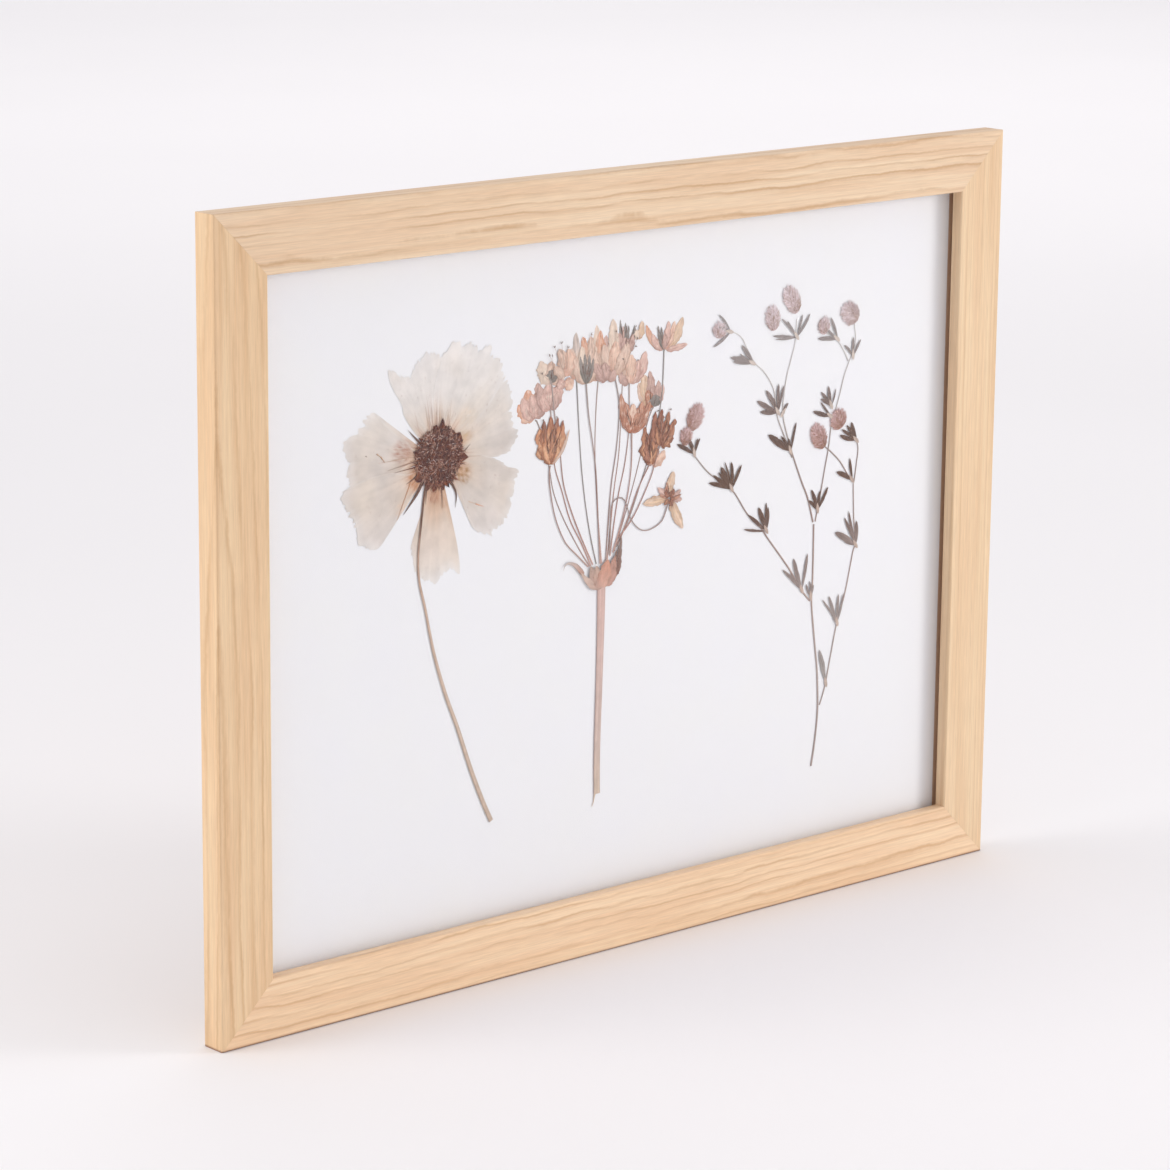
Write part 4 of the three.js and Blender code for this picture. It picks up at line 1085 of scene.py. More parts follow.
# Each ray of the umbel: its layer, the route of its pedicel up from the bracts, the foot of its
# blossom, and the blossom's petals as (tip x, tip z, width, tone), the hindmost first.
RAYS = [
    (3, [(-19, 165.5), (-25.5, 171.5), (-32, 178), (-37.5, 189.5), (-40.5, 203.5), (-40.3, 211)],
        (-40, 210.8), [(-43.6, 230, 4, "dark"), (-36, 230.4, 4, "dark"), (-40, 231.4, 4, "burnt"),
        (-33.4, 229, 3, "dark"), (-45.8, 227, 5.4, "pod"), (-33, 227.4, 4.6, "pod"),
        (-43.4, 227, 5, "burnt"), (-35.6, 226.8, 4.6, "pod"), (-41, 227.4, 4.6, "pod"),
        (-38, 226.4, 3.6, "burnt"), (-43.2, 222.6, 3.2, "pod"), (-30, 224.6, 1.6, "tan"),
        (-31, 222.4, 1.2, "tan")]),
    (0, [(-18, 165.5), (-23.5, 173), (-32, 186.5), (-38, 199), (-41, 212), (-45.5, 226),
        (-48, 231)], (-48.3, 230.6), [(-47, 246, 6, "rose"), (-57.4, 238, 5.5, "orange"),
        (-52.6, 243.6, 7, "orange"), (-55.4, 240.5, 6, "pink"), (-45.4, 241, 6, "rose"),
        (-50.4, 241.4, 4.6, "pink")]),
    (1, [(-17.4, 165.5), (-22.5, 175.5), (-29, 186.5), (-33.5, 199), (-38, 212), (-40, 233.5)],
        (-40.4, 233.4), [(-46.4, 244.6, 6.2, "rose"), (-35.6, 244.8, 6, "pink"),
        (-41.2, 245.4, 7.5, "pink"), (-36.5, 240.5, 4.2, "rose"), (-44.8, 240.8, 4.6, "pink")]),
    (2, [(-16.4, 166), (-23.5, 179.5), (-29, 191.5), (-33, 203), (-35, 217), (-38, 232),
        (-39.8, 246)], (-40.4, 244.6), [(-45.6, 254.7, 6.4, "cream"), (-39.8, 254, 5.6, "tan"),
        (-34.6, 248.4, 5, "tan"), (-39.4, 250.4, 6.2, "seed"), (-43.6, 248.4, 3.4, "cream")]),
    (1, [(-14.4, 166), (-17.5, 177), (-20.5, 191), (-23, 207.5), (-24.8, 227), (-26.2, 246)],
        (-26.4, 244.4), [(-26.5, 264.4, 4.8, "grey"), (-29, 258, 6, "tan"),
        (-23.4, 257, 5.4, "cream"), (-27, 252.8, 5, "flesh")]),
    (3, [(-12.5, 165.8), (-14, 188.5), (-15.2, 205), (-17, 216.5), (-19.5, 229.5), (-21, 242.6)],
        (-20.9, 242.1), [(-27.4, 254.6, 5, "tan"), (-15.6, 255.7, 5, "tan"),
        (-23.5, 258.4, 5, "cream"), (-18.4, 257, 5, "tan"), (-24.4, 254.3, 2, "seed"),
        (-21.9, 255, 2.2, "seed"), (-19.3, 254.4, 2.2, "seed"), (-17.2, 252.7, 2, "seed"),
        (-20.6, 250.6, 2.2, "seed")]),
    (0, [(-11.4, 165.8), (-13.5, 184.5), (-15.5, 209), (-15.5, 227.5), (-14.2, 244)],
        (-13.6, 242.8), [(-15.3, 266.3, 5.2, "cream"), (-9.9, 261.5, 5.6, "rose"),
        (-13.2, 263.9, 5.2, "orange"), (-18.4, 252.6, 6, "flesh"), (-12.4, 256, 5.4, "tan")]),
    (2, [(-9.2, 166.8), (-8, 183.5), (-6.5, 199), (-4, 213), (-2.6, 227), (-3.2, 235.5),
        (-5.6, 244.6)], (-5.8, 244), [(-6.4, 267.9, 6.4, "cream"), (-11.4, 257.8, 6.2, "tan"),
        (1.8, 257.4, 6.4, "tan"), (-5.1, 258.6, 6.8, "flesh"), (-13.6, 249.6, 4.4, "rose"),
        (-1.4, 253.6, 5, "tan")]),
    (0, [(-8.2, 167.2), (-6.8, 179.5), (-5, 195.5), (-2.4, 211.5), (-1.5, 227.5), (-0.2, 254)],
        (0.3, 252.7), [(-2.4, 267.2, 1.8, "seed"), (0.5, 265.6, 2.2, "seed"),
        (2.3, 264.2, 2, "seed"), (5.6, 264, 1.6, "seed"), (-0.8, 264.4, 1.4, "rose"),
        (-3, 261.8, 4.4, "rose"), (5, 260.4, 4.6, "rose"), (0.6, 259.4, 5, "rose")]),
    (1, [(-6.8, 168.3), (-4.5, 183.5), (-2.2, 195), (1, 207), (3, 222), (2.8, 239.6)], (3, 239.3),
        [(-2.4, 249.6, 5, "rose"), (12, 252.5, 5.8, "pink"), (0.2, 251.8, 5.2, "tan"),
        (7.8, 249.4, 5.4, "pink"), (3.9, 252, 6.2, "flesh"), (-2.6, 245.6, 3.6, "rose")]),
    (3, [(-5.4, 169.6), (-0.5, 182.5), (2.5, 193), (4.4, 205.5), (4.4, 219)], (4.5, 218.4),
        [(-1.8, 236.2, 4.6, "cup"), (14.4, 231, 5.2, "cup"), (1.2, 232, 5, "cup"),
        (10.4, 231.6, 5.6, "cup"), (5.2, 231.2, 6, "flesh"), (8, 228.4, 4.2, "cup"),
        (2.2, 228, 3.6, "cup")]),
    (0, [(-4.4, 170.1), (0.5, 182.5), (6, 197.5), (10, 210), (13, 221.5), (16.4, 228.6)],
        (16.8, 228), [(8.2, 239.6, 5.4, "tan"), (11, 242.8, 7.4, "gold"),
        (14.2, 243.9, 4.6, "rose"), (21.9, 237.6, 3.4, "pink"), (19.3, 239.4, 4, "rose"),
        (13, 236, 5, "cup"), (17.4, 233.6, 5.6, "seed")]),
    (2, [(-2.8, 172.6), (3, 183), (8, 194), (14.8, 204.5)], (15.4, 203.6),
        [(23.4, 209.2, 4.6, "flesh"), (12, 220.6, 4.6, "burnt"), (15.4, 219.4, 5, "dark"),
        (18.8, 217, 5, "burnt"), (13.6, 216, 4.4, "dark"), (16.6, 212.6, 3.2, "pod")]),
    (3, [(-2.1, 175.6), (6, 183.5), (14.5, 197), (17.6, 204.5), (20.4, 212)], (20.4, 211),
        [(27.6, 216.6, 4, "burnt"), (17.8, 226.4, 3.4, "dark"), (28.8, 222, 4.2, "burnt"),
        (21.4, 227, 3.8, "dark"), (25.4, 225.6, 4, "burnt"), (22.8, 221.6, 3.4, "dark"),
        (19.6, 222, 3, "burnt"), (26, 219.6, 2.6, "dark")]),
    (1, [(-3.3, 171.8), (3.6, 183), (9.6, 196.5), (16, 212), (20, 226), (21.5, 236.5),
        (22.1, 252)], (22.2, 251.5), [(32.6, 264.6, 5, "gold"), (11.8, 263.4, 3.6, "orange"),
        (28, 263.4, 3.8, "flesh"), (15.3, 259.4, 3.8, "pink"), (24.6, 263.8, 3.6, "pink"),
        (35.3, 252.9, 3, "pink"), (18.6, 262.4, 1.6, "seed"), (20.4, 261.7, 1.8, "seed"),
        (22.6, 259, 3, "rose")]),
    (4, [(-7.4, 169), (-7, 179.5), (-7, 187.5), (-5.6, 191.2), (-2.5, 192.5), (0.5, 191.3),
        (2.6, 187), (5, 181.6), (9.2, 177.6), (13.5, 176.4), (18.5, 177.5), (22.3, 179.8),
        (25, 185.6)], (26, 188.4), [(28.4, 199.6, 4.6, "gold"), (11.2, 188, 4.4, "gold"),
        (34, 174.4, 4.8, "gold"), (19.4, 193.8, 2.6, "pink"), (33.2, 187, 3, "rose"),
        (24.6, 195.4, 2.2, "cup"), (32.4, 191.4, 2.4, "rose"), (32.6, 189.4, 1.8, "cup"),
        (20.4, 190.6, 1.8, "cup"), (24.4, 192.4, 2.4, "dark"), (28.6, 192, 2.6, "dark"),
        (27.6, 185, 2.4, "dark"), (28.8, 188.4, 2, "dark"), (22.9, 186, 1.8, "burnt")]),
]

# Five more blossoms half hidden in the crowd: layer, foot and petals.
CROWD = [
    (4, (-32.4, 246), [(-35.9, 258.6, 6.2, "tan"), (-31, 258.2, 6, "flesh"),
        (-38.6, 251.6, 4.6, "tan"), (-28.6, 241.4, 5.4, "flesh"), (-36.4, 242.4, 4.6, "pink")]),
    (2, (-18.9, 250), [(-22.9, 262.2, 4.6, "orange"), (-18.6, 262, 4.6, "tan")]),
    (4, (-9.6, 242), [(-16, 250.6, 4.6, "rose"), (-5.4, 246.6, 4.4, "rose"),
        (-11, 250.4, 5, "rose")]),
    (3, (7.4, 257.4), [(9.6, 265.3, 3.6, "gold"), (5.4, 263.1, 1.8, "seed"),
        (6.4, 262, 3, "cream")]),
    (2, (-27, 247), [(-31.6, 254.6, 5, "tan"), (-25, 251.4, 5, "orange")]),
]

# Anthers on their threads, dark dots over the crowd: place, and the blossom foot they grow from.
ANTHERS = [
    ((-41, 256.6), (-38, 250)), ((-38.4, 259.5), (-34, 250)), ((-34.7, 260.8), (-33, 250)),
    ((-31.4, 258.7), (-32, 250)), ((-45, 249.3), (-41, 246)), ((-39.6, 256), (-39, 249)),
    ((5.6, 263.3), (2, 256)), ((6.9, 258.2), (3, 254)), ((5.7, 255.1), (2, 252)), ((-18.8, 262.7),
    (-18, 255)), ((-5.2, 262.4), (-5, 256)), ((-0.8, 250.4), (2, 243)), ((7.2, 248.9), (4, 242)),
    ((13.4, 241), (15.6, 232)), ((-44.2, 229.8), (-42, 222)), ((-37, 230.2), (-39, 222)),
    ((19.4, 226.6), (21, 218)), ((26.2, 226.2), (23, 218)),
]

PEDICEL_TONES = [
    (166, "C9A69C"), (185, "AE867D"), (205, "AC897F"), (225, "AC9690"), (250, "B3A5A0"),
]
BLOSSOM_SINK = 0.06     # how far a blossom's hindmost petal lies behind its pedicel
BLOSSOM_PITCH = 0.016   # from one petal of a blossom to the next
# How grey each pedicel is; those not named keep their pink.
PEDICEL_GREY = {1: 0.3, 2: 0.5, 5: 0.9, 6: 0.3, 8: 0.4, 12: 0.4, 15: 0.8, 16: 0.6}


def blossom_sheets(foot, petals, layer, seed):
    """One blossom's petals, each a little nearer the front, the outer ones bulging like a cup."""
    foot = Vector(foot)
    axis = sum(((Vector(petal[:2]) - foot).normalized() for petal in petals), Vector((0, 0)))
    axis.normalize()
    sheets = []
    for number, (tip_x, tip_z, width, tone) in enumerate(petals):
        tip = Vector((tip_x, tip_z))
        ahead = tip - foot
        beside = ahead - axis * ahead.dot(axis)
        bulge = 0.34 if tone in RIPE else 0.24
        if ahead.dot(axis) <= 0.4 * ahead.length:
            bulge = 0.0
        belly = foot + ahead * 0.42 + beside * bulge
        root = foot + ahead.normalized() * 0.5 + beside * 0.06
        depth = layer_middle(layer) + BLOSSOM_SINK - BLOSSOM_PITCH * number
        sheets.append(lance([root, belly, tip], width, depth, blossom_tint(tone, seed + number),
                            blunt=0.88, fullness=0.55, rows=20, columns=10, cup=0.006,
                            ragged=0.8 if tone in RIPE else 0.4, seed=seed + number * 1.7))
    return sheets


def stamen_strands(foot, petals, depth, seed):
    """Thin dark stamens that stand up between the petals of a ripe blossom."""
    draw = random.Random(seed)
    copies = []
    for tip_x, tip_z, _, tone in petals:
        if tone not in (*RIPE, "seed", "cup"):
            continue
        for _ in range(5 if tone in RIPE else 3):
            start = Vector(foot).lerp(Vector((tip_x, tip_z)), draw.uniform(0.25, 0.7))
            away = Vector((tip_x, tip_z)) - Vector(foot)
            lean = math.atan2(away.y, away.x) + draw.gauss(0, 0.25)
            shade = behind_pane(draw.choice(["7B5A50", "8C6A5E", "A98C80"]))
            copies.append(strand(start, depth, (math.cos(lean), math.sin(lean)),
                                 draw.uniform(1.6, 4.2), draw.uniform(0.16, 0.3), shade))
    return copies


def anther_strands():
    """The threads of the crowd's anthers, each with a thicker dark end."""
    draw = random.Random(8)
    copies = []
    for end, start in ANTHERS:
        end, start = Vector(end), Vector(start)
        ahead = (end - start).normalized()
        depth = layer_middle(5) - 0.05
        copies.append(strand(start, depth, ahead, (end - start).length, 0.15,
                             behind_pane("BCA298")))
        for _ in range(2):
            lean = math.atan2(ahead.y, ahead.x) + draw.gauss(0, 0.8)
            copies.append(strand(end, depth - 0.03, (math.cos(lean), math.sin(lean)),
                                 draw.uniform(0.6, 1.0), 0.45,
                                 behind_pane(draw.choice(["8E7F79", "A3948E"]))))
    return copies


class FLOWERFRAME_OT_umbel_rays(BuildStep, bpy.types.Operator):
    """Lay the sixteen rays of the umbel, each a thin pedicel with its blossom, bud or pod"""

    bl_idname = "flower_frame.umbel_rays"
    bl_label = "Umbel rays"

    def execute(self, context):
        tissue = pressed_tissue("pressed_blossom_tissue", 8, 0.2, 1.8, 0.5)
        for number, (layer, route, foot, petals) in enumerate(RAYS, start=1):
            grey = PEDICEL_GREY.get(number, 0.0)

            def tint(u, v, height, grey=grey):
                return blended(tone_at(PEDICEL_TONES, height), behind_pane("979290"), grey)

            depth = layer_middle(layer)
            tubes = [stalk([*route, foot], [0.7, 0.54, 0.5, 0.75], depth, 0.14, tint, step=2)]
            strands = stamen_strands(foot, petals, depth - 0.1, number)
            if strands:
                tubes.append(scattered(strands, sides=3))
            add_piece(f"blossom_ray_{number:02d}", tissue,
                      sheets=blossom_sheets(foot, petals, layer, number * 11), tubes=tubes,
                      nodes=[f"umbel_ray_{number}"])
        return {"FINISHED"}


class FLOWERFRAME_OT_crowd(BuildStep, bpy.types.Operator):
    """Add the blossoms and anthers that lie half hidden in the crowd of the umbel"""

    bl_idname = "flower_frame.crowd"
    bl_label = "Hidden blossoms"

    def execute(self, context):
        tissue = bpy.data.materials["pressed_blossom_tissue"]
        for number, (layer, foot, petals) in enumerate(CROWD, start=1):
            add_piece(f"hidden_blossom_{number}", tissue,
                      sheets=blossom_sheets(foot, petals, layer, 300 + number * 11))
        add_piece("crowd_anthers", tissue,
                  tubes=[scattered(anther_strands(), tip=0.8)])
        return {"FINISHED"}


# ---------------------------------------------------------------- right specimen: clover sprig

SPRIG_DEPTH = CARD_FRONT - 0.2
LEAF_DEPTH = CARD_FRONT - 0.42
LEAF_PITCH = 0.02
# Tones by height; the upper ones are partly the plants' own colour and partly painted reflection of
# the pane.
STALK_TONES = [
    (60, "A69691"), (110, "B0A09A"), (140, "AE9890"), (165, "A28B84"), (195, "A08E88"),
    (215, "BDB4B0"), (240, "CFCAC8"),
]
LEAF_TONES = [
    (90, "A79F9C"), (130, "9F928E"), (155, "94837E"), (172, "70594F"), (190, "6C554A"),
    (212, "6E5A52"), (224, "8E7F7B"), (245, "9B918F"), (262, "A49C9B"),
]

# Stems of the sprig: node, widths at both ends, route up from the fork.
SPRIG_STEMS = [
    ("sprig_main_stem", (1.0, 0.8), [(113, 56.5), (115, 68), (116.3, 82), (115.5, 99),
        (113.5, 113), (111.2, 130.5), (111.5, 139.5), (111.6, 152), (111.5, 165.5)]),
    ("sprig_right_stem", (0.7, 0.5), [(117.4, 83.5), (120.5, 91.5), (123.5, 104.5), (127, 119),
        (131.5, 131.5), (136, 150), (137.3, 153.5), (136, 165), (135.2, 180.5)]),
    ("sprig_right_tip", (0.55, 0.5), [(135.7, 181.6), (137, 190.5), (137.6, 196), (136, 201)]),
    ("sprig_left_stem", (0.8, 0.5), [(110.1, 131.6), (105, 137), (96.5, 148.5), (84, 163),
        (79.5, 168.5), (71.5, 175.5), (62, 187.5), (49, 196), (41, 204), (38.5, 207)]),
    ("sprig_middle_stem", (0.85, 0.45), [(111, 166.5), (107.5, 177.5), (103.5, 185.5), (98.7, 196),
        (95, 205), (92.6, 212), (91.4, 218), (92, 225), (93.5, 233), (96, 240.5), (98, 247),
        (98.6, 257)]),
    ("sprig_middle_left_stem", (0.65, 0.45), [(97.5, 196.8), (93, 206), (88, 216.5), (86.5, 225.5),
        (84, 231), (79.5, 236.5), (75, 240), (72.5, 243), (69.5, 247.5), (66.5, 252.3), (62, 255),
        (58.5, 255.6)]),
    ("sprig_middle_right_stem", (0.65, 0.45), [(112.3, 166.6), (113.5, 171.5), (115.5, 180),
        (117.5, 189.5), (119.6, 199), (121, 209), (123, 214), (125.5, 221), (128, 229),
        (131.4, 236), (133.2, 239), (134.6, 244), (133.5, 251)]),
]

# Clusters of leaflets: the joint they grow from and each leaflet's tip and width.
LEAF_CLUSTERS = [
    ((99, 249), [(106.5, 258.5, 1.5), (102, 258.5, 1.3), (93, 256.5, 1.6), (89.5, 258, 1.2),
        (84.5, 251, 1.4), (86, 249.5, 0.9)]),
    ((60, 255.5), [(53, 263.5, 1.2), (50, 250, 1.4), (52.5, 258.5, 1.6)]),
    ((73.5, 240.5), [(66.5, 249, 2.2), (65.5, 245.5, 1.0), (60, 244.5, 2.3), (61.5, 242.5, 1.8)]),
    ((88.5, 217.5), [(76, 224, 2.4), (78, 219, 2.2), (81, 228, 2.4), (88.5, 230, 1.8),
        (91.5, 229, 1.3)]),
    ((91, 216.5), [(94.5, 221, 1.5)]),
    ((96.5, 199.5), [(83, 208.5, 3.2), (90.5, 207, 1.4), (99.5, 212, 1.4), (95, 205.5, 1.6)]),
    ((123.5, 245.5), [(111.5, 247, 2.0), (119, 255.5, 1.6), (116.5, 251, 1.4)]),
    ((133, 237), [(127.5, 242.5, 1.4), (133, 245.5, 1.5), (137.5, 244, 1.3)]),
    ((120.5, 216.5), [(114, 223.5, 1.6), (118.5, 225.5, 2.0), (123, 224, 0.8), (114, 220.5, 1.5)]),
    ((120.5, 212), [(109.5, 215.5, 2.1), (114, 219, 1.1)]),
    ((136.5, 199.5), [(133, 208, 2.2), (130, 207, 1.6), (127, 205.5, 1.5), (126, 203, 2.0)]),
    ((134.5, 182), [(132.5, 192, 1.5), (124.5, 187, 2.3)]),
    ((40, 205.5), [(30, 211, 1.9), (36.5, 212.5, 2.0), (43, 212, 1.3), (41.5, 212, 1.3)]),
    ((62, 187.5), [(48.5, 192, 2.0), (51, 195, 1.8), (55.5, 198, 3.0), (61.5, 199.5, 1.9),
        (67.5, 197.5, 1.7), (54, 196, 1.4), (57.5, 200, 1.0)]),
    ((113.5, 171.5), [(109.5, 181, 2.0), (115, 180, 1.7), (119.5, 181, 1.7), (108, 176.5, 1.6)]),
    ((83, 166.5), [(78, 177.5, 2.6), (82.5, 179, 1.3), (83.5, 177, 1.6), (72, 175, 1.8),
        (69.5, 169, 1.2)]),
    ((105, 137), [(99.5, 152, 2.4), (108, 153, 1.7), (93, 148, 1.6), (97.5, 146, 1.2)]),
    ((110.5, 133), [(107.5, 139.5, 1.2), (109.5, 140.5, 1.2), (112, 138.5, 1.1)]),
    ((121, 92.5), [(116.5, 108.5, 2.6)]),
    ((127, 119), [(117.5, 131, 1.1), (121.5, 132, 1.8), (127.5, 132, 1.6), (130.5, 132, 1.2),
        (124.5, 122, 1.2)]),
    ((137.5, 152.5), [(137.5, 163.5, 2.0), (132.5, 168.5, 1.4), (130, 166, 1.5), (124.5, 160, 3.0),
        (128.5, 157, 1.6)]),
]

# Flower heads: centre, half width, half height, tilt to the right, and a twig of two.
SPRIG_HEADS = [
    ((95.6, 265.3), 4.5, 7.2, -36, None),
    ((84.3, 258.5), 4.2, 5.7, -16, None),
    ((53.4, 256.6), 4.1, 3.5, 20, None),
    ((130.9, 256), 4.9, 6.2, -62, None),
    ((115, 252), 3.5, 3.9, -10, [(130.2, 235.3), (127.5, 240), (124, 244.5), (119.5, 248),
        (116, 249)]),
    ((40.2, 221.2), 4.5, 6.3, 30, None),
    ((35.1, 213.4), 3.4, 3.9, 5, None),
    ((125, 210), 4.9, 4.7, -30, None),
    ((113.4, 203.8), 4.5, 6.6, -34, [(134.4, 181.6), (131.5, 185), (126.5, 191.5), (120.8, 196.5),
        (117, 199.4)]),
]
HEAD_DEPTH = CARD_FRONT - 0.3


def stalk_tint(u, v, height):
    """Colour of the sprig's thin stems at a height."""
    return tone_at(STALK_TONES, height)


class FLOWERFRAME_OT_sprig_stems(BuildStep, bpy.types.Operator):
    """Lay the thin branching stems of the clover sprig"""

    bl_idname = "flower_frame.sprig_stems"
    bl_label = "Clover stems"

    def execute(self, context):
        tissue = pressed_tissue("pressed_thin_stalk", 5, 0.12, 2, 0.2)
        for node, widths, route in SPRIG_STEMS:
            stem = stalk(route, widths, SPRIG_DEPTH, 0.3, stalk_tint, step=2)
            add_piece("dry_" + node, tissue, tubes=[stem], nodes=[node])
        return {"FINISHED"}


def leaf_tint(seed):
    """Colours of one leaflet: darker midrib and edges."""
    def tint(u, v, height):
        colour = tone_at(LEAF_TONES, height)
        rib = max(0.0, 1 - abs(2 * u - 1) * 3)
        patch = 0.5 * wander(seed, v * 5, u * 2)
        return blended(colour, tuple(c * 0.62 for c in colour), 0.5 * rib + patch)
    return tint


class FLOWERFRAME_OT_leaflets(BuildStep, bpy.types.Operator):
    """Add the narrow leaflets in their clusters, each cluster from a pale sheath"""

    bl_idname = "flower_frame.leaflets"
    bl_label = "Clover leaflets"

    def execute(self, context):
        tissue = pressed_tissue("pressed_leaflet", 5, 0.18, 1.5, 0.2)
        for number, (joint, leaflets) in enumerate(LEAF_CLUSTERS, start=1):
            sheets = []
            reach = Vector((0, 0))
            for order, (tip_x, tip_z, width) in enumerate(leaflets):
                tint = leaf_tint(number * 7 + order)
                foot, tip = Vector(joint), Vector((tip_x, tip_z))
                reach += (tip - foot).normalized()

                def colour(u, v, tint=tint, foot=foot, tip=tip):
                    return tint(u, v, foot.lerp(tip, v).y)

                sheets.append(lance([foot.lerp(tip, 0.06), tip], width,
                                    LEAF_DEPTH - LEAF_PITCH * order, colour,
                                    bend=0.35 * math.sin(number + order * 2.1), blunt=1.15,
                                    fullness=0.55, rows=12, columns=6, cup=0.02, ragged=0.2,
                                    seed=number + order))
            pale = blended(tone_at(STALK_TONES, joint[1]), behind_pane("D2BCAE"), 0.55)
            sheath_tip = Vector(joint) + reach.normalized() * 3.4
            sheets.append(lance([Vector(joint) - reach.normalized() * 1.6, sheath_tip], 1.7,
                                LEAF_DEPTH - LEAF_PITCH * len(leaflets),
                                lambda u, v, pale=pale: pale, blunt=0.8, seed=number))
            add_piece(f"leaflets_{number:02d}", tissue, sheets=sheets)
        return {"FINISHED"}


def head_hairs(centre, half_width, half_height, tilt, tones, number):
    """Downy hairs of a flower head, swept up and outwards from its axis."""
    draw = random.Random(70 + number)
    turn = math.radians(tilt)
    axis = Vector((math.sin(turn), math.cos(turn)))
    right = Vector((axis.y, -axis.x))
    share = half_width * half_height / (SPRIG_HEADS[0][1] * SPRIG_HEADS[0][2])
    count = round(bpy.context.scene.flower_finish.head_hairs * share)
    low, middle, high = tones
    scale_brown = behind_pane("A27F60")
    copies = []
    for _ in range(count):
        out = math.sqrt(draw.random())
        around = draw.uniform(0, math.tau)
        across, up = out * math.cos(around), out * math.sin(around)
        foot = Vector(centre) + right * (across * half_width * 0.86)
        foot += axis * (up * half_height * 0.9)
        sweep = right * (across * 1.5 + draw.gauss(0, 0.35)) + axis * (0.9 + up * 0.6)
        sweep.normalize()
        lean = draw.uniform(-0.04, 0.04)
        shade = blended(low, middle, (up + 1) * 1.1) if up < 0 else blended(middle, high, up)
        shade = blended(shade, high, max(0.0, draw.gauss(0.2, 0.45)))
        shade = blended(shade, low, max(0.0, draw.gauss(0.0, 0.6)))
        shade = blended(shade, scale_brown, max(0.0, draw.gauss(-0.4 - 0.3 * up, 0.7)))
        depth = HEAD_DEPTH - 0.08 - 0.1 * (1 - out) * draw.random()
        copies.append(strand(foot, depth, sweep, draw.uniform(0.9, 2.0), draw.uniform(0.2, 0.42),
                             shade, lean))
    return copies


class FLOWERFRAME_OT_heads(BuildStep, bpy.types.Operator):
    """Add the nine downy flower heads of the clover sprig"""

    bl_idname = "flower_frame.heads"
    bl_label = "Clover heads"

    def execute(self, context):
        down = pressed_tissue("pressed_downy_head", 3, 0.08, 1.2, 0.25)
        for number, head in enumerate(SPRIG_HEADS, start=1):
            centre, half_width, half_height, tilt, twig = head
            warmth = min(1.0, max(0.0, (258 - centre[1]) / 45))
            tones = [blended(behind_pane(cool), behind_pane(warm), warmth) for cool, warm in
                     (("C4ADAA", "A6786A"), ("E3D3D6", "CFABA5"), ("F1E6EA", "E4CBCD"))]

            def core_tint(x, z, tones=tones, number=number):
                scale = wander(x * 7, number, z * 7)
                return blended(tones[1], tones[0], 0.45 - 0.35 * z + scale)

            core = lumpy_disc(centre, half_width * 0.9, half_height * 0.92, HEAD_DEPTH + 0.08,
                              CORE_HALF_DEPTH, tilt, core_tint, segments=20, rings=12, seed=number)
            hairs = head_hairs(centre, half_width, half_height, tilt, tones, number)
            tubes = [core, scattered(hairs, sides=3)]
            if twig:
                tubes.append(stalk([*twig, centre], (0.6, 0.6), HEAD_DEPTH + 0.12, 0.3,
                                   stalk_tint, sides=6, step=2))
            add_piece(f"downy_head_{number}", down, tubes=tubes,
                      nodes=[f"clover_head_{number}"])
        return {"FINISHED"}


# ---------------------------------------------------------------- stage

CAMERA_PLACE = Vector((-1.1401, -1.2632, 0.55315))
CAMERA_TARGET = Vector((-0.02809, -0.006, 0.16056))
CAMERA_ROLL = 0.53864       # degrees
CAMERA_LENS = 129.04        # mm, on the usual 36 mm sensor
FLOOR_RADIUS = 5.6
SWEEP_RADIUS = 1.5
WALL_HEIGHT = 1.9
# Near lights: name, the setting of its power, place, target, size, colour, beam in degrees.
NEAR_LIGHTS = [
    ("key_light", "key_power", (1.72, -1.6, 0.6), (0, 0, 0.16), 0.85, "FFFCFA", 80),
    ("near_side_light", "side_power", (-1.2, 0.5, 0.45), (-0.2, 0, 0.16), 0.7, "FFFAF4", 100),
    ("ground_light", "ground_power", (2.1, 2.1, 2.2), (2.1, 2.1, 0), 2.4, "FFFCFA", 180),
]
# Far lights: name, the setting of its strength, direction, width in degrees, colour.
SOFT_SUNS = [
    ("side_light", "side_strength", (-1, 0.4, 0.6), 60, "FFFAF4"),
    ("top_light", "top_strength", (0.1, 0.1, 1), 70, "FDFDFF"),
]


def matt_paint(name, colour):
    """Studio floor, rolled matt paint: even, with a faint cloudy unevenness."""
    material, tree, shader = start_material(name)
    place = object_place(tree)
    cloud = add_node(tree, "TexNoise", {"Vector": place, "Scale": 1.2, "Detail": 2.0}).outputs[0]
    tone = multiplied(tree, (*colour, 1), stretch(tree, cloud, 0.3, 0.7, 0.99, 1.01))
    plug(tree, shader, {"Base Color": tone, "Roughness": 0.9, "Specular IOR Level": 0.1})
    return material


def round_backdrop():
    """A round floor whose edge sweeps up into a wall, so that every side has the same ground."""
    def place(u, v):
        path = v * (FLOOR_RADIUS + SWEEP_RADIUS * math.pi / 2 + WALL_HEIGHT - SWEEP_RADIUS)
        if path < FLOOR_RADIUS:
            radius, height = path, 0.0
        elif path < FLOOR_RADIUS + SWEEP_RADIUS * math.pi / 2:
            turn = (path - FLOOR_RADIUS) / SWEEP_RADIUS
            radius = FLOOR_RADIUS + SWEEP_RADIUS * math.sin(turn)
            height = SWEEP_RADIUS * (1 - math.cos(turn))
        else:
            radius = FLOOR_RADIUS + SWEEP_RADIUS
            height = path - FLOOR_RADIUS - SWEEP_RADIUS * (math.pi / 2 - 1)
        turn = -u * math.tau
        return (radius * math.cos(turn) / MM, radius * math.sin(turn) / MM, height / MM)

    return shaped("grid", 96, 60, place, lambda u, v: (1, 1, 1))


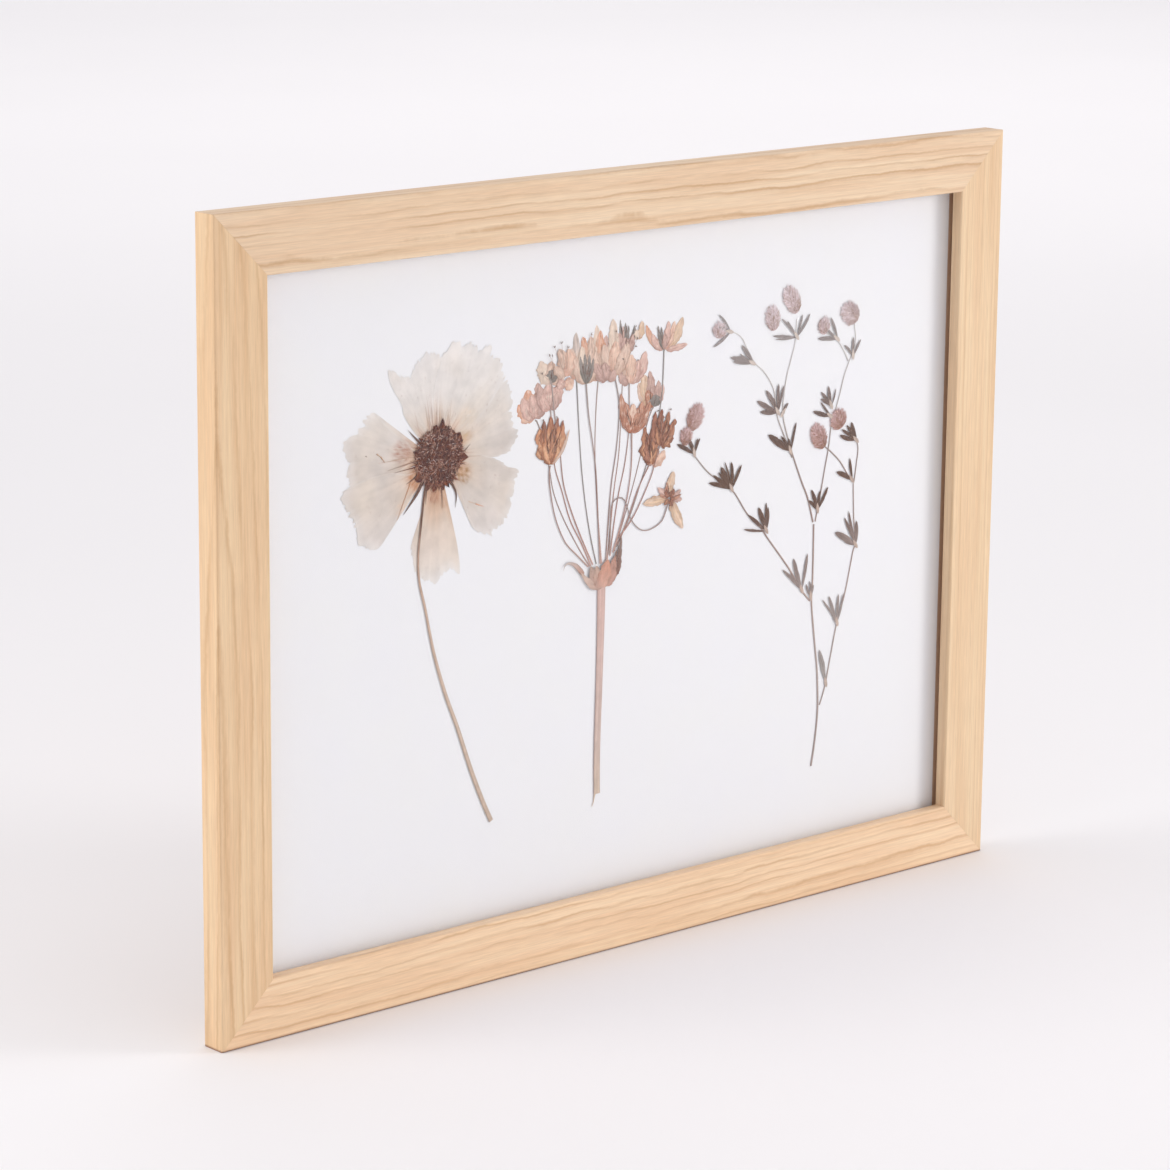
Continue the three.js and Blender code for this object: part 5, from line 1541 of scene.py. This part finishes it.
def soft_sun(name, towards, strength, width, colour):
    """A far soft light in a direction, so many degrees wide."""
    deselect_all()
    bpy.ops.object.light_add(type="SUN", location=Vector(towards) * 2)
    lamp = bpy.context.object
    lamp.name = name
    lamp.rotation_euler = Vector(towards).to_track_quat("Z", "Y").to_euler()
    lamp.data.energy = strength
    lamp.data.angle = math.radians(width)
    lamp.data.color = colour


def near_light(name, place, target, power, size, colour, beam):
    """A round soft light near the frame, aimed at a place, with a beam so many degrees wide."""
    deselect_all()
    bpy.ops.object.light_add(type="AREA", location=place)
    lamp = bpy.context.object
    lamp.name = name
    lamp.rotation_euler = (Vector(target) - Vector(place)).to_track_quat("-Z", "Y").to_euler()
    lamp.data.shape = "DISK"
    lamp.data.size = size
    lamp.data.spread = math.radians(beam)
    lamp.data.energy = power
    lamp.data.color = colour
    lamp.visible_camera = False
    lamp.visible_glossy = False


class FLOWERFRAME_OT_stage(BuildStep, bpy.types.Operator):
    """Set the pale floor, the soft studio light and the camera"""

    bl_idname = "flower_frame.stage"
    bl_label = "Stage, light and camera"

    def execute(self, context):
        scene = context.scene
        finish = scene.frame_finish
        backdrop = join_parts([round_backdrop()])
        bpy.ops.object.mode_set(mode="EDIT")
        bpy.ops.mesh.select_all(action="SELECT")
        bpy.ops.mesh.remove_doubles(threshold=0.0001)
        bpy.ops.object.mode_set(mode="OBJECT")
        bpy.ops.object.shade_smooth()
        backdrop.name = "backdrop"
        backdrop.data.materials.append(matt_paint("matt_floor_paint", finish.floor))

        for name, power, place, target, size, colour, beam in NEAR_LIGHTS:
            near_light(name, place, target, getattr(finish, power), size, linear(colour), beam)
        for name, strength, towards, width, colour in SOFT_SUNS:
            soft_sun(name, towards, getattr(finish, strength), width, linear(colour))
        world = bpy.data.worlds.new("pale_room")
        world.use_nodes = True
        sky = world.node_tree.nodes["Background"]
        plug(world.node_tree, sky, {"Color": solid("FCFAFC"), "Strength": finish.room_strength})
        scene.world = world

        deselect_all()
        bpy.ops.object.camera_add(location=CAMERA_PLACE)
        camera = context.object
        level = (CAMERA_TARGET - CAMERA_PLACE).to_track_quat("-Z", "Y")
        roll = Matrix.Rotation(math.radians(CAMERA_ROLL), 3, "Z").to_quaternion()
        camera.rotation_euler = (level @ roll).to_euler()
        camera.data.lens = CAMERA_LENS
        camera.data.clip_start = 0.05
        scene.camera = camera
        scene.view_settings.view_transform = "Standard"
        return {"FINISHED"}


# ---------------------------------------------------------------- panel and registration

STEPS = [
    FLOWERFRAME_OT_stage, FLOWERFRAME_OT_rails, FLOWERFRAME_OT_sheets, FLOWERFRAME_OT_fixings,
    FLOWERFRAME_OT_petals, FLOWERFRAME_OT_boss, FLOWERFRAME_OT_sepals, FLOWERFRAME_OT_flower_stem,
    FLOWERFRAME_OT_umbel_stem, FLOWERFRAME_OT_umbel_rays, FLOWERFRAME_OT_crowd,
    FLOWERFRAME_OT_sprig_stems, FLOWERFRAME_OT_leaflets, FLOWERFRAME_OT_heads,
]


class FLOWERFRAME_PT_panel(bpy.types.Panel):
    """Sizes, colours and building steps of the flower frame"""

    bl_idname = "FLOWERFRAME_PT_panel"
    bl_label = "Flower frame"
    bl_space_type = "VIEW_3D"
    bl_region_type = "UI"
    bl_category = "Flower frame"

    def draw(self, context):
        for finish in (context.scene.frame_finish, context.scene.flower_finish):
            for name in finish.__annotations__:
                self.layout.prop(finish, name)
        for step in STEPS:
            self.layout.operator(step.bl_idname)


CLASSES = [FrameFinish, FlowerFinish, *STEPS, FLOWERFRAME_PT_panel]


def register():
    """Registers the settings, the building steps and the panel."""
    for item in CLASSES:
        bpy.utils.register_class(item)
    bpy.types.Scene.frame_finish = PointerProperty(type=FrameFinish)
    bpy.types.Scene.flower_finish = PointerProperty(type=FlowerFinish)


def unregister():
    """Takes them away again."""
    del bpy.types.Scene.flower_finish
    del bpy.types.Scene.frame_finish
    for item in reversed(CLASSES):
        bpy.utils.unregister_class(item)


def main():
    """Builds everything in order."""
    register()
    for step in STEPS:
        group, name = step.bl_idname.split(".")
        getattr(getattr(bpy.ops, group), name)()


if __name__ == "__main__":
    main()
